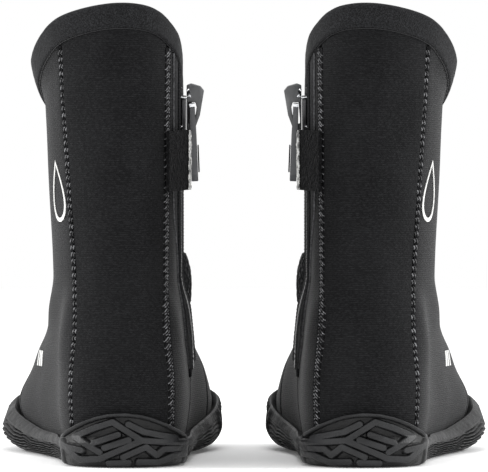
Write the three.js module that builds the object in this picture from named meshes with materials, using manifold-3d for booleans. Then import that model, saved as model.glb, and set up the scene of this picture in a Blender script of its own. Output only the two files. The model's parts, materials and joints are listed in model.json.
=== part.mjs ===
import * as THREE from 'three';
import Module from 'manifold-3d';

const wasm = await Module();
wasm.setup();

// Millimetres. One boot is built: +X is its outer side, +Y runs to the toes, +Z is up.
const HEEL_SPACING = 132; // between the heels' centre lines of the pair
const COLLAR_HEIGHT = 250; // back of the collar above the floor
const COLLAR_DROP = 65; // the collar's cut falls this much from back to front
const COLLAR_BROW = 1.1; // above 1 the cut stays high for longer behind
const COLLAR_FLARE = 5; // the collar's outer side spreads this much
const FLARE_DEPTH = 20; // over this height below the collar's edge
const NEOPRENE = 5; // thickness of the upper
const GAP = 0.3; // between pieces sewn or glued together
const LAID = 0.5; // under tapes and patches laid on the curved upper
const SOLE_GAP = 0.6; // between the rubber cup and the upper

// The last: half-widths at STATIONS of the length, at rising heights. Above the last but one
// height the shaft is ruled straight, so that the zip's slider runs true.
const STATIONS = [0.1, 0.25, 0.5, 0.75, 0.9];
const LAST = [
  { z: 8, heel: 7, front: 279, round: [30, 38], lateral: [30, 34, 47, 60, 46], medial: [29, 32, 33, 44, 36] },
  { z: 30, heel: 3, front: 284, round: [33, 42], lateral: [33, 37.5, 52, 66, 52], medial: [31, 34.5, 36, 46.5, 41] },
  { z: 48, heel: 4, front: 278, round: [31, 32], lateral: [33, 37, 49.5, 57, 40], medial: [31, 34, 36, 42, 31] },
  { z: 60, heel: 6, front: 262, round: [31, 20], lateral: [33, 37, 48, 50.5, 31], medial: [30, 33, 35.5, 36, 24] },
  { z: 70, heel: 8, front: 234, round: [31, 14], lateral: [32, 36.5, 46, 42.5, 25], medial: [29, 32, 35, 31.5, 20] },
  { z: 84, heel: 11, front: 184, round: [30, 14], lateral: [29, 35.5, 44, 36.5, 22], medial: [26, 30.5, 33.5, 31, 19] },
  { z: 104, heel: 14, front: 143, round: [26, 20], lateral: [24, 34, 40.6, 35, 23], medial: [20, 27.2, 29.4, 29.2, 20] },
  { z: 250, heel: 6, front: 121, round: [30, 26], lateral: [29, 40.5, 46.5, 37.5, 25], medial: [21, 28.4, 30, 27.2, 19] },
];
const LEVELS = LAST.map((level) => level.z);
const RULED_FROM = LEVELS[LEVELS.length - 2];

// Seams either side of the back panel: half-width from the centre line at rising heights
const SEAM_LEVELS = [8, 45, 76, 112, 250];
const LATERAL_SEAM = [27, 28.6, 26.4, 27.5, 36];
const MEDIAL_SEAM = [26, 26.5, 23.8, 23.2, 24.6];
const SEAM_TAPE = 5; // width of the zigzag seam
const VAMP_SEAM = 0.62; // way round from heel to toe at which the front panel starts

// Sole
const FLOOR = 8; // top of the sole inside the cup
const WALL = 2.4; // thickness of the cup's upper edge
const WALL_TOPS = [14, 14.5, 14.5, 15.5, 26, 34, 34]; // height of the wall from heel to toe
const LATERAL_FLARES = [0, 0, 2.5, 7, 12, 9, 4]; // how far the wall swells beyond its upper edge
const MEDIAL_FLARES = [0, 0, 2, 4, 5, 4, 4];
const WALL_STATIONS = [0, ...STATIONS, 1];
const TREAD_INSET = 1.2; // the tread's edge inside the wall's, where the wall has no swell
const TREAD_SWELLS = [0.3, -0.9]; // share of the swell left at the floor, outer and inner side
const LOW_SWELLS = [0.7, 0.2]; // and a little above it
const COUNTER_HALF = 34; // half-width at which the heel counter stops
const COUNTER_PEAK = 29; // top of the heel counter's arch
const COUNTER_CORNER = 16; // and of its two ends
const COUNTER_PROUD = 2.6; // thickness of the heel counter
const CAP_START = 0.8; // way round at which the toe cap starts
const CAP_PEAK = 50; // top of the toe cap at the toe
const BOARD = 3.6; // thickness of the board in the cup
const FOOTBED = 4.2; // thickness of the removable footbed

// Collar binding
const BINDING_DEPTH = 11.8;
const BINDING = 1.3; // thickness of the folded strip

// Zip, on the inner side
const ZIP_ALONG = 0.46; // share of the length at which it runs
const ZIP_BOTTOM = 50; // height of its lower end
const ZIP_SLOT = 8.8; // half the slot in the neoprene
const SLOT_TAPER = 12; // height in which the slot closes round the zip's lower end
const TAPE_REACH = 14; // from the chain's middle to the tape's outer edge
const TAPE_WIDER = 4.5; // the rear tape's extra reach above the ankle
const TAPE_WIDENS = [108, 146]; // heights between which it gains that reach
const TAPE = 1; // thickness of the woven tape
const CHAIN_HALF = 3.2;
const CHAIN_LOW = -1; // underside of the teeth, from the upper's surface
const CHAIN_HIGH = 2; // and their outside
const TOOTH_PITCH = 5;
const TOOTH_BITE = 1; // half the depth by which the teeth interlock
const STOP_LENGTH = 3.5;

// Slider and pull
const SLIDER_MIDDLE = 193; // height of the slider's middle
const SLIDER_LENGTH = 20;
const SLIDER_HALF = 7.5;
const SLIDER_PLATE = 1.6;
const SLIDER_LIP = 1.6; // width of the lips that hang beside the chain
const PLATE_LOW = CHAIN_HIGH + 0.4;
const PLATE_HIGH = PLATE_LOW + SLIDER_PLATE;
const SHIELD = [ // half the slider's outline, from its top: half-width, up
  [SLIDER_HALF - 2.5, SLIDER_LENGTH / 2], [SLIDER_HALF, SLIDER_LENGTH / 2 - 3], [SLIDER_HALF - 0.4, 0],
  [SLIDER_HALF - 2.2, -SLIDER_LENGTH / 2],
];
const BRIDGE_WIDTH = 5;
const BRIDGE_SEAT = PLATE_HIGH + GAP;
const BRIDGE = [ // the bridge's outline seen from the side: out, and up from the slider's middle
  [8.2, -8.8], [9.6, -6.6], [11.8, -0.5], [13.2, 7.3], [14, 13], [12, 15.5], [6.8, 17],
  [BRIDGE_SEAT, 16], [BRIDGE_SEAT, -8.5],
];
const BRIDGE_HOLE = [[5.2, 6.6], [9.2, 6.6], [9.9, 4], [9.4, 0], [8, -5.4], [5.2, -5.4]];
const PIVOT_UP = 4.5; // pull's pivot above the slider's middle
const PIVOT_OUT = 7.4; // and out from the upper's surface
const PULL_LENGTH = 41.8;
const PULL_WIDTH = 12.5;
const PULL_THICK = 3.6;
const PULL_EYE = 17; // length of the eye that goes round the bridge
const PIVOT_RADIUS = 1.4;
const PULL_LEAN = 2.5; // degrees by which it hangs away from the upper
const PAD_THICK = 0.7; // hook pad on the pull's outside

// Domed rubber pad in front of the zip
const GUARD_LOW = 87;
const GUARD_HIGH = 116;
const GUARD_WIDTH = 22;
const GUARD_AHEAD = 2; // its near edge in front of the tape's
const GUARD_EDGE = 1.9; // its outside at its edge, from the upper's surface
const GUARD_DOME = 3.2; // and the rise to its middle

// Keeper tab, sewn on behind the zip
const KEEPER_HEIGHT = 33;
const KEEPER_LENGTH = 26;
const KEEPER_THICK = 2.5;
const KEEPER_MIDDLE = 166; // height of its middle
const KEEPER_ROOT = 22.2; // half-width at which it is sewn on
const KEEPER_OUT = 2.4; // its fold line, out from the surface
const KEEPER_LIFT = 3; // degrees by which its free edge stands off
const KEEPER_CORNER = 3; // cut off its free corners
const PATCH_THICK = 0.8; // loop patch under it
const PATCH_REAR = 9.5; // from the fold line to the patch's rear edge, along the boot

// White prints on the outer side
const DROP_HEIGHT = 34;
const DROP_WIDTH = 27;
const DROP_LINE = 3; // width of the drop's outline
const DROP_UP = 150; // height of the drop's middle
const DROP_BACK = 43; // and its distance along the boot
const PRINT_THICK = 0.4;
const BAR_LOW = 50;
const BAR_HIGH = 60;
const BAR_ALONG = [0.5, 0.58]; // shares of the length between which the bar lies
const BAR_SLANT = 0.002; // change of its way round per millimetre of height

const clamp = THREE.MathUtils.clamp;
const lerp = THREE.MathUtils.lerp;

// A fair curve through values at knots; it is straight after the last knot but one.
function fair(knots, values, at) {
  const last = knots.length - 1;
  const slope = (i) => (values[i + 1] - values[i]) / (knots[i + 1] - knots[i]);
  const tangent = (i) => {
    if (i === 0) return slope(0);
    return i >= last - 1 ? slope(last - 1) : (slope(i - 1) + slope(i)) / 2;
  };
  let i = 0;
  while (i < last - 1 && at > knots[i + 1]) i += 1;
  if (i === last - 1 || at < knots[0]) return values[i] + slope(i) * (at - knots[i]);
  const span = knots[i + 1] - knots[i];
  const u = (at - knots[i]) / span;
  const v = 1 - u;
  return values[i] * v * v * (1 + 2 * u) + values[i + 1] * u * u * (1 + 2 * v)
    + tangent(i) * span * u * v * v - tangent(i + 1) * span * u * u * v;
}

const alongOf = (around) => (1 - Math.cos(Math.PI * Math.abs(around))) / 2;
const aroundOf = (along) => Math.acos(1 - 2 * along) / Math.PI;
const collarAt = (around) => COLLAR_HEIGHT - COLLAR_DROP * alongOf(around) ** COLLAR_BROW;

// Half-width divided by the ellipse's: an end's value follows from its corner radius.
function fullness(side, along, z) {
  const length = fair(LEVELS, LAST.map((l) => l.front - l.heel), z);
  const end = (k) => Math.sqrt(2 * fair(LEVELS, LAST.map((l) => l.round[k]), z) * length) / 2;
  const inner = STATIONS.map((s, k) => {
    const width = fair(LEVELS, LAST.map((l) => l[side][k]), z);
    return width / (2 * Math.sqrt(s * (1 - s)));
  });
  return fair([0, ...STATIONS, 1], [end(0), ...inner, end(1)], along);
}

// The upper's outer surface. around: 0 at the heel's back, 1 at the toe, below 0 on the inner side.
function surface(around, z) {
  const wrapped = around > 1 ? around - 2 : around < -1 ? around + 2 : around;
  const along = alongOf(wrapped);
  const outward = Math.sign(wrapped);
  const heel = fair(LEVELS, LAST.map((l) => l.heel), z);
  const front = fair(LEVELS, LAST.map((l) => l.front), z);
  const half = fullness(outward > 0 ? 'lateral' : 'medial', along, z) * Math.sin(Math.PI * Math.abs(wrapped));
  const rise = clamp(1 - (collarAt(wrapped) - z) / FLARE_DEPTH, 0, 1.1);
  const flare = outward > 0 ? COLLAR_FLARE * rise * Math.sin(Math.PI * wrapped) ** 2 : 0;
  return new THREE.Vector3(outward * (half + flare), heel + (front - heel) * along, z);
}

function slopes(around, z) {
  const [da, dz] = [0.004, 0.5];
  return {
    round: surface(around + da, z).sub(surface(around - da, z)).divideScalar(2 * da),
    up: surface(around, z + dz).sub(surface(around, z - dz)).divideScalar(2 * dz),
  };
}

function normal(around, z) {
  const { round, up } = slopes(around, z);
  return round.cross(up).normalize();
}

const off = (around, z, out) => surface(around, z).addScaledVector(normal(around, z), out);

// Moved out level, so that the height stays exact.
function aside(around, z, out) {
  const n = normal(around, z);
  n.z = 0;
  return surface(around, z).addScaledVector(n.normalize(), out);
}

// A solid through loops of equal count; the ends are closed between a loop's two halves.
function loft(loops, closed = false) {
  const size = loops[0].length;
  const points = loops.flat();
  const index = [];
  for (let i = 0; i < loops.length - (closed ? 0 : 1); i += 1) {
    const here = i * size;
    const next = ((i + 1) % loops.length) * size;
    for (let k = 0; k < size; k += 1) {
      const l = (k + 1) % size;
      index.push(here + k, next + k, next + l, here + k, next + l, here + l);
    }
  }
  const end = (loops.length - 1) * size;
  for (let k = 0; !closed && k < size / 2 - 1; k += 1) {
    const m = size - 1 - k;
    index.push(k, k + 1, m - 1, k, m - 1, m);
    index.push(end + k, end + m - 1, end + k + 1, end + k, end + m, end + m - 1);
  }
  const geometry = new THREE.BufferGeometry();
  geometry.setAttribute('position', new THREE.Float32BufferAttribute(points.flatMap((p) => p.toArray()), 3));
  geometry.setIndex(facesOut(points, index));
  return geometry;
}

function facesOut(points, index) {
  let volume = 0;
  for (let i = 0; i < index.length; i += 3) {
    const [a, b, c] = [points[index[i]], points[index[i + 1]], points[index[i + 2]]];
    volume += a.dot(b.clone().cross(c));
  }
  return volume > 0 ? index : index.reverse();
}

const steps = (count, from = 0, to = 1) => Array.from({ length: count + 1 }, (_, i) => lerp(from, to, i / count));

// A piece lying on the upper: place(i, j) gives its way round and height over a grid.
function patch(columns, rows, place, inner, outer) {
  return loft(steps(columns, 0, columns).map((i) => {
    const line = steps(rows, 0, rows).map((j) => place(i, j));
    const skin = (out) => line.map(([a, z]) => off(a, z, out));
    return [...skin(outer), ...skin(inner).reverse()];
  }));
}

// Rings right round the boot, in pairs either side of the centre line
const ring = (count, at) => Array.from({ length: count }, (_, k) => at((2 * k + 1) / count - 1));

// Way round at which the surface is a given half-width from the centre line, behind the middle
function aroundAtWidth(outward, width, z) {
  let [low, high] = [0, 0.5];
  for (let i = 0; i < 30; i += 1) {
    const middle = (low + high) / 2;
    if (Math.abs(surface(outward * middle, z).x) < width) low = middle;
    else high = middle;
  }
  return outward * low;
}

// Way round, on the outer side, of the point that lies a given distance along the boot
function aroundAtLength(y, z) {
  const heel = fair(LEVELS, LAST.map((l) => l.heel), z);
  const front = fair(LEVELS, LAST.map((l) => l.front), z);
  return aroundOf((y - heel) / (front - heel));
}

const lateralSeam = (z) => aroundAtWidth(1, fair(SEAM_LEVELS, LATERAL_SEAM, z), z);
const medialSeam = (z) => aroundAtWidth(-1, fair(SEAM_LEVELS, MEDIAL_SEAM, z), z);

// The zip's line, and steps across it towards the toes measured on the surface
const ZIP_AROUND = -aroundOf(ZIP_ALONG);
function across(z, distance) {
  const { round, up } = slopes(ZIP_AROUND, z);
  const forward = round.clone().cross(up).cross(up).normalize();
  if (forward.y < 0) forward.negate();
  const [rr, ru, uu] = [round.dot(round), round.dot(up), up.dot(up)];
  const share = round.dot(forward) / (rr * uu - ru * ru);
  return [ZIP_AROUND + share * uu * distance, z - share * ru * distance];
}

// Way round of the point at a height that lies a given distance from the zip's line
function besideZip(z, distanceAt) {
  let base = z;
  let found = [0, 0];
  for (let i = 0; i < 12; i += 1) {
    found = across(base, distanceAt(base));
    base += z - found[1];
  }
  return found[0];
}

const zipEdge = (z, direction) => besideZip(z, (base) => {
  const atBottom = (CHAIN_HALF + LAID - GAP / 2) / (ZIP_SLOT - GAP / 2);
  return direction * lerp(GAP / 2, ZIP_SLOT, clamp((base - ZIP_BOTTOM) / SLOT_TAPER + atBottom, 0, 1));
});

// Heights of the rows that all the upper's panels share
const LOW_ROWS = [FLOOR + 0.4, 20, 32, 42, 50, 57, 63, 69, 76, 84, 93, RULED_FROM];
const HIGH_ROWS = [0.35, 0.7, 1]; // shares of the way up to where the collar flares

function panel(columns, from, to) {
  const place = (i, j) => {
    if (j < LOW_ROWS.length) return [lerp(from(LOW_ROWS[j]), to(LOW_ROWS[j]), i / columns), LOW_ROWS[j]];
    let z = RULED_FROM;
    let around = 0;
    for (let n = 0; n < 6; n += 1) {
      around = lerp(from(z), to(z), i / columns);
      const share = HIGH_ROWS[j - LOW_ROWS.length];
      z = share ? lerp(RULED_FROM, collarAt(around) - FLARE_DEPTH, share) : collarAt(around) - 1;
    }
    return [around, z];
  };
  return patch(columns, LOW_ROWS.length + HIGH_ROWS.length, place, -NEOPRENE, 0);
}

function binding() {
  const profile = [
    [BINDING_DEPTH, LAID], [BINDING_DEPTH, LAID + BINDING], [-BINDING, LAID + BINDING],
    [-BINDING, -NEOPRENE - LAID - BINDING], [BINDING_DEPTH, -NEOPRENE - LAID - BINDING],
    [BINDING_DEPTH, -NEOPRENE - LAID], [1 - LAID, -NEOPRENE - LAID], [1 - LAID, LAID],
  ];
  return loft(ring(96, (a) => profile.map(([down, out]) => off(a, collarAt(a) - down, out))), true);
}

const UNDER_BINDING = BINDING_DEPTH + 0.8;

function seamTape(seam, width) {
  const rows = 14;
  const place = (i, j) => {
    let z = 0;
    for (let n = 0; n < 5; n += 1) {
      z = lerp(COUNTER_PEAK + 2, collarAt(seam(z)) - UNDER_BINDING - 1.6, j / rows);
    }
    const middle = seam(z);
    const half = (width / 2) / slopes(middle, z).round.length();
    return [middle + lerp(-half, half, i / 2), z];
  };
  return patch(2, rows, place, LAID, LAID + 0.5);
}

// The rubber cup
const wallTop = (around) => fair(WALL_STATIONS, WALL_TOPS, alongOf(around));
const wallFlare = (around) => {
  return fair(WALL_STATIONS, around > 0 ? LATERAL_FLARES : MEDIAL_FLARES, alongOf(around));
};

function outsole() {
  const count = 72;
  const inside = (share) => ring(count, (a) => aside(a, lerp(FLOOR, wallTop(a), share), SOLE_GAP));
  const outside = (share, swells) => ring(count, (a) => {
    const outer = clamp(0.5 + 1.5 * Math.sin(Math.PI * a), 0, 1);
    const swell = lerp(swells[1], swells[0], outer);
    const under = share ? 0 : TREAD_INSET;
    return aside(a, wallTop(a) * share, SOLE_GAP + WALL - under + wallFlare(a) * swell);
  });
  return loft([...[0, 0.3, 0.55, 0.8, 1].map(inside), outside(1, [0, 0]), outside(0.75, [0.6, 0.6]),
    outside(0.45, [1, 1]), outside(0.15, LOW_SWELLS), outside(0, TREAD_SWELLS)]);
}

function heelCounter() {
  const columns = 18;
  const over = wallTop(0) + 1;
  const ends = [-1, 1].map((sign) => aroundAtWidth(sign, COUNTER_HALF - SOLE_GAP - WALL, COUNTER_CORNER));
  const loops = steps(columns, ...ends.map((a) => Math.sign(a) * Math.abs(a) ** 0.5)).map((root) => {
    const a = root * Math.abs(root);
    const share = 1 - (surface(a, COUNTER_CORNER).x / COUNTER_HALF) ** 2;
    const top = lerp(COUNTER_CORNER, COUNTER_PEAK, share);
    const wall = SOLE_GAP + WALL + wallFlare(a) + 0.2;
    const outer = [0.6, 7, wallTop(0), over, top].map((z, k) => {
      return aside(a, z, wall + GAP + (k === 4 ? 0.4 : COUNTER_PROUD));
    });
    const inner = [[0.6, wall + GAP], [7, wall + GAP], [wallTop(a) + 0.3, wall + GAP],
      [wallTop(a) + 0.6, SOLE_GAP], [top - 0.2, SOLE_GAP]];
    return [...outer, ...inner.map(([z, out]) => aside(a, z, out)).reverse()];
  });
  return loft(loops);
}

function toeCap() {
  const place = (i, j) => {
    const around = lerp(CAP_START, 2 - CAP_START, i / 20);
    const along = alongOf(around);
    const peak = lerp(wallTop(around) + 3, CAP_PEAK, (along - alongOf(CAP_START)) / (1 - alongOf(CAP_START)));
    return [around > 1 ? around - 2 : around, lerp(wallTop(around) + 0.8, peak, j / 2)];
  };
  return patch(20, 2, place, SOLE_GAP + 0.2, SOLE_GAP + 2.2);
}

function plate(low, thick, inset) {
  return loft([low, low + thick].map((z) => ring(44, (a) => aside(a, z, -NEOPRENE - inset))));
}

// Pieces that follow the zip's line from its lower end to the binding
function zipTopAt(distance) {
  let z = RULED_FROM;
  for (let n = 0; n < 8; n += 1) {
    const [around, height] = across(z, distance);
    z += collarAt(around) - UNDER_BINDING - height;
  }
  return z;
}

const ZIP_TOP = zipTopAt(CHAIN_HALF);
const CURVED_ROWS = steps(10, ZIP_BOTTOM, RULED_FROM);
const RULED_SHARES = [0.1, 0.2, 0.3, 0.4, 0.55, 0.75, 1];

// A strip beside the chain, its upper end cut along the collar
function strip(columns, from, to, inner, outer) {
  const place = (i, j) => {
    const low = CURVED_ROWS[Math.min(j, CURVED_ROWS.length - 1)];
    if (j < CURVED_ROWS.length) return across(low, lerp(from(low), to(low), i / columns));
    const share = RULED_SHARES[j - CURVED_ROWS.length];
    const high = lerp(RULED_FROM, ZIP_TOP, share);
    const distance = lerp(from(high), to(high), i / columns);
    return across(lerp(RULED_FROM, zipTopAt(distance), share), distance);
  };
  return patch(columns, CURVED_ROWS.length + RULED_SHARES.length - 1, place, inner, outer);
}

const rearReach = (z) => {
  return -TAPE_REACH - TAPE_WIDER * THREE.MathUtils.smoothstep(z, ...TAPE_WIDENS);
};
const rearTape = () => strip(4, () => -CHAIN_HALF - 2 * GAP, rearReach, LAID, LAID + TAPE);
const frontTape = () => strip(2, () => CHAIN_HALF + 2 * GAP, () => TAPE_REACH, LAID, LAID + TAPE);
const zipGusset = () => strip(3, () => -TAPE_REACH, () => TAPE_REACH, -NEOPRENE - 2, -NEOPRENE - 0.8);

const TEETH_LOW = ZIP_BOTTOM + STOP_LENGTH + 1;
const TEETH_HIGH = ZIP_TOP - STOP_LENGTH - 1;

function teeth(direction) {
  const count = 2 * Math.round((TEETH_HIGH - TEETH_LOW) / TOOTH_PITCH);
  const loops = steps(count, TEETH_LOW, TEETH_HIGH).map((z, k) => {
    const middle = (k % 2 ? TOOTH_BITE : -TOOTH_BITE) + direction * (GAP / 2);
    return [[middle, CHAIN_HIGH], [direction * CHAIN_HALF, CHAIN_HIGH],
      [direction * CHAIN_HALF, CHAIN_LOW], [middle, CHAIN_LOW]].map(([side, out]) => off(...across(z, side), out));
  });
  return loft(loops);
}

function stop(low, from, to) {
  const place = (i, j) => across(low + STOP_LENGTH * j, i ? to : from);
  return patch(1, 1, place, CHAIN_LOW, CHAIN_HIGH);
}

// Frame on the ruled part of the shaft: x backward across the zip, y up along it, z outward
function frameOn(around, z) {
  const up = slopes(around, z).up.normalize();
  const out = normal(around, z);
  const side = up.clone().cross(out);
  return new THREE.Matrix4().makeBasis(side, up, out).setPosition(surface(around, z));
}

function solid(geometry) {
  const { merged, triangles } = weld(facing(geometry).getAttribute('position'));
  return new wasm.Manifold(new wasm.Mesh({ numProp: 3, vertProperties: merged, triVerts: triangles }));
}

function weld(position) {
  const seen = new Map();
  const merged = [];
  const triangles = new Uint32Array(position.count);
  for (let i = 0; i < position.count; i += 1) {
    const p = [position.getX(i), position.getY(i), position.getZ(i)];
    const key = p.map((v) => Math.round(v * 1e4) + 0).join();
    if (!seen.has(key)) seen.set(key, merged.push(...p) / 3 - 1);
    triangles[i] = seen.get(key);
  }
  return { merged: new Float32Array(merged), triangles };
}

function meshOf(body) {
  const { vertProperties, triVerts } = body.getMesh();
  const geometry = new THREE.BufferGeometry();
  geometry.setAttribute('position', new THREE.BufferAttribute(new Float32Array(vertProperties), 3));
  geometry.setIndex(new THREE.BufferAttribute(new Uint32Array(triVerts), 1));
  return geometry;
}

const outline = (points) => new THREE.Shape(points.map(([x, y]) => new THREE.Vector2(x, y)));
const extruded = (shape, depth) => {
  return new THREE.ExtrudeGeometry(shape, { depth, bevelEnabled: false, curveSegments: 5 });
};

// Slider: a grooved plate that rides over the chain, cut to a shield outline
function sliderBody() {
  const low = LAID + TAPE + GAP;
  const [half, groove] = [SLIDER_HALF, SLIDER_HALF - SLIDER_LIP];
  const profile = outline([[-half, low], [-half, PLATE_HIGH], [half, PLATE_HIGH], [half, low],
    [groove, low], [groove, PLATE_LOW], [-groove, PLATE_LOW], [-groove, low]]);
  const rail = extruded(profile, SLIDER_LENGTH).rotateX(Math.PI / 2).translate(0, SLIDER_LENGTH / 2, 0);
  const shield = outline([...SHIELD, ...SHIELD.map(([x, y]) => [-x, y]).reverse()]);
  return meshOf(solid(rail).intersect(solid(extruded(shield, 2 * PLATE_HIGH))));
}

function facing(geometry) {
  const bare = geometry.index ? geometry.toNonIndexed() : geometry;
  const p = bare.getAttribute('position');
  const points = Array.from({ length: p.count }, (_, i) => new THREE.Vector3().fromBufferAttribute(p, i));
  const index = facesOut(points, points.map((_, i) => i));
  const turned = new THREE.BufferGeometry();
  turned.setAttribute('position', new THREE.Float32BufferAttribute(index.flatMap((i) => points[i].toArray()), 3));
  return turned;
}

// Bridge: an arch over the slider
function sliderBridge() {
  const side = outline(BRIDGE);
  side.holes.push(outline(BRIDGE_HOLE));
  const body = extruded(side, BRIDGE_WIDTH).translate(0, 0, -BRIDGE_WIDTH / 2);
  return body.applyMatrix4(new THREE.Matrix4().makeBasis(
    new THREE.Vector3(0, 0, 1), new THREE.Vector3(0, 1, 0), new THREE.Vector3(-1, 0, 0)));
}

// Pull: hangs from its pivot, with an eye round the bridge
const hung = (geometry) => {
  return geometry.rotateX(-THREE.MathUtils.degToRad(PULL_LEAN)).translate(0, PIVOT_UP, PIVOT_OUT);
};

function pullTab() {
  const half = PULL_WIDTH / 2;
  const shoulder = PULL_EYE - 1;
  const shape = outline([[-half + 1, PIVOT_RADIUS], [half - 1, PIVOT_RADIUS], [half, 0], [half, -shoulder],
    [half - 1, -PULL_EYE - 4], [half, 4 - PULL_LENGTH], [half - 3, -PULL_LENGTH], [3 - half, -PULL_LENGTH],
    [-half, 4 - PULL_LENGTH], [1 - half, -PULL_EYE - 4], [-half, -shoulder], [-half, 0]]);
  const eye = BRIDGE_WIDTH / 2 + 0.6;
  shape.holes.push(outline([[-eye, -PIVOT_RADIUS], [-eye, -PULL_EYE], [eye, -PULL_EYE], [eye, -PIVOT_RADIUS]]));
  const geometry = extruded(shape, PULL_THICK).translate(0, 0, -PULL_THICK / 2);
  const position = geometry.getAttribute('position');
  for (let i = 0; i < position.count; i += 1) {
    const thin = position.getY(i) > -PULL_EYE + 1 ? (2 * PIVOT_RADIUS) / PULL_THICK : 1;
    position.setZ(i, position.getZ(i) * thin);
  }
  return hung(geometry);
}

function pullPad() {
  const [half, low, high] = [PULL_WIDTH / 2 - 2, 5 - PULL_LENGTH, -PULL_EYE - 5];
  const shape = outline([[-half, low], [half, low], [half, high], [-half, high]]);
  return hung(extruded(shape, PAD_THICK).translate(0, 0, PULL_THICK / 2 + GAP));
}

const KEEPER_AROUND = aroundAtWidth(-1, KEEPER_ROOT, KEEPER_MIDDLE);
function keeperFrame() {
  const lift = new THREE.Matrix4().makeRotationY(THREE.MathUtils.degToRad(KEEPER_LIFT));
  return frameOn(KEEPER_AROUND, KEEPER_MIDDLE)
    .multiply(new THREE.Matrix4().makeTranslation(0, 0, KEEPER_OUT)).multiply(lift);
}

function keeperTab() {
  const [half, corner, fold] = [KEEPER_HEIGHT / 2, KEEPER_CORNER, KEEPER_THICK / 2];
  const blunt = fold * 0.2 - KEEPER_LENGTH;
  const profile = outline([[0, -fold], [blunt, -fold], [-KEEPER_LENGTH, 0], [blunt, fold], [0, fold],
    [fold * 0.8, fold * 0.55], [fold, 0], [fold * 0.8, -fold * 0.55]]);
  const body = extruded(profile, KEEPER_HEIGHT).rotateX(Math.PI / 2).translate(0, half, 0);
  const cut = outline([[fold, -half], [corner - KEEPER_LENGTH, -half], [-KEEPER_LENGTH, corner - half],
    [-KEEPER_LENGTH, half - corner], [corner - KEEPER_LENGTH, half], [fold, half]]);
  const cutter = extruded(cut, 3 * KEEPER_THICK).translate(0, 0, -1.5 * KEEPER_THICK);
  return meshOf(solid(body).intersect(solid(cutter)));
}

function keeperBase() {
  const half = KEEPER_HEIGHT / 2 - 2;
  const rear = surface(KEEPER_AROUND, KEEPER_MIDDLE).y + PATCH_REAR;
  const place = (i, j) => {
    const z = KEEPER_MIDDLE + lerp(-half, half, j / 2);
    const end = surface(ZIP_AROUND, z).y - TAPE_REACH - TAPE_WIDER - 1.5;
    return [-aroundAtLength(lerp(rear, end, i / 2), z), z];
  };
  return patch(2, 2, place, GAP, GAP + PATCH_THICK);
}

// Domed pad in front of the zip at the ankle
function ankleGuard() {
  const columns = 5;
  const rows = 4;
  const spot = (i, j) => {
    const z = lerp(GUARD_LOW, GUARD_HIGH, j / rows);
    const near = besideZip(z, () => TAPE_REACH + GUARD_AHEAD);
    return [near - ((i / columns) * GUARD_WIDTH) / slopes(near, z).round.length(), z];
  };
  const dome = (i, j) => Math.sin((Math.PI * i) / columns) * Math.sin((Math.PI * j) / rows);
  return loft(steps(columns, 0, columns).map((i) => {
    const line = steps(rows, 0, rows).map((j) => [...spot(i, j), GUARD_EDGE + GUARD_DOME * dome(i, j)]);
    return [...line.map(([a, z, out]) => off(a, z, out)),
      ...line.map(([a, z]) => off(a, z, 2 * LAID)).reverse()];
  }));
}

// White prints: a ring in the shape of a water drop, and a slanted bar
function emblem() {
  const drop = (turn, inset) => {
    const neck = Math.sin(turn / 2) ** 1.3;
    const y = DROP_BACK + (DROP_WIDTH / 2 - inset) * Math.sin(turn) * neck;
    const z = DROP_UP + (DROP_HEIGHT / 2 - inset) * Math.cos(turn);
    return [aroundAtLength(y, z), z];
  };
  const [low, high] = [GAP, GAP + PRINT_THICK];
  const loops = steps(24, 0, 2 * Math.PI).slice(1).map((turn) => [
    off(...drop(turn, 0), low), off(...drop(turn, 0), high),
    off(...drop(turn, DROP_LINE), high), off(...drop(turn, DROP_LINE), low)]);
  return loft(loops, true);
}

function sidePrint() {
  const place = (i, j) => {
    const z = lerp(BAR_LOW, BAR_HIGH, j / 2);
    return [aroundOf(lerp(...BAR_ALONG, i / 3)) - (z - BAR_LOW) * BAR_SLANT, z];
  };
  return patch(3, 2, place, GAP + 0.1, GAP + 0.1 + PRINT_THICK);
}

const LOOKS = {
  neoprene: [0x24262a, 0.9], stretch: [0x303338, 0.9], binding: [0x17181b, 0.95], thread: [0x111214, 0.8],
  rubber: [0x232528, 0.55], bumper: [0x2a2c30, 0.5], foam: [0x3a3d42, 0.9], footbed: [0x1d1f22, 0.95],
  print: [0xe8e8e6, 0.6], tape: [0x141517, 0.9], chain: [0x1c1d20, 0.45], slider: [0x2b2d31, 0.4],
  crown: [0x6d7176, 0.45], pull: [0x4a4d52, 0.6], hook: [0x1a1b1d, 1],
};

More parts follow.
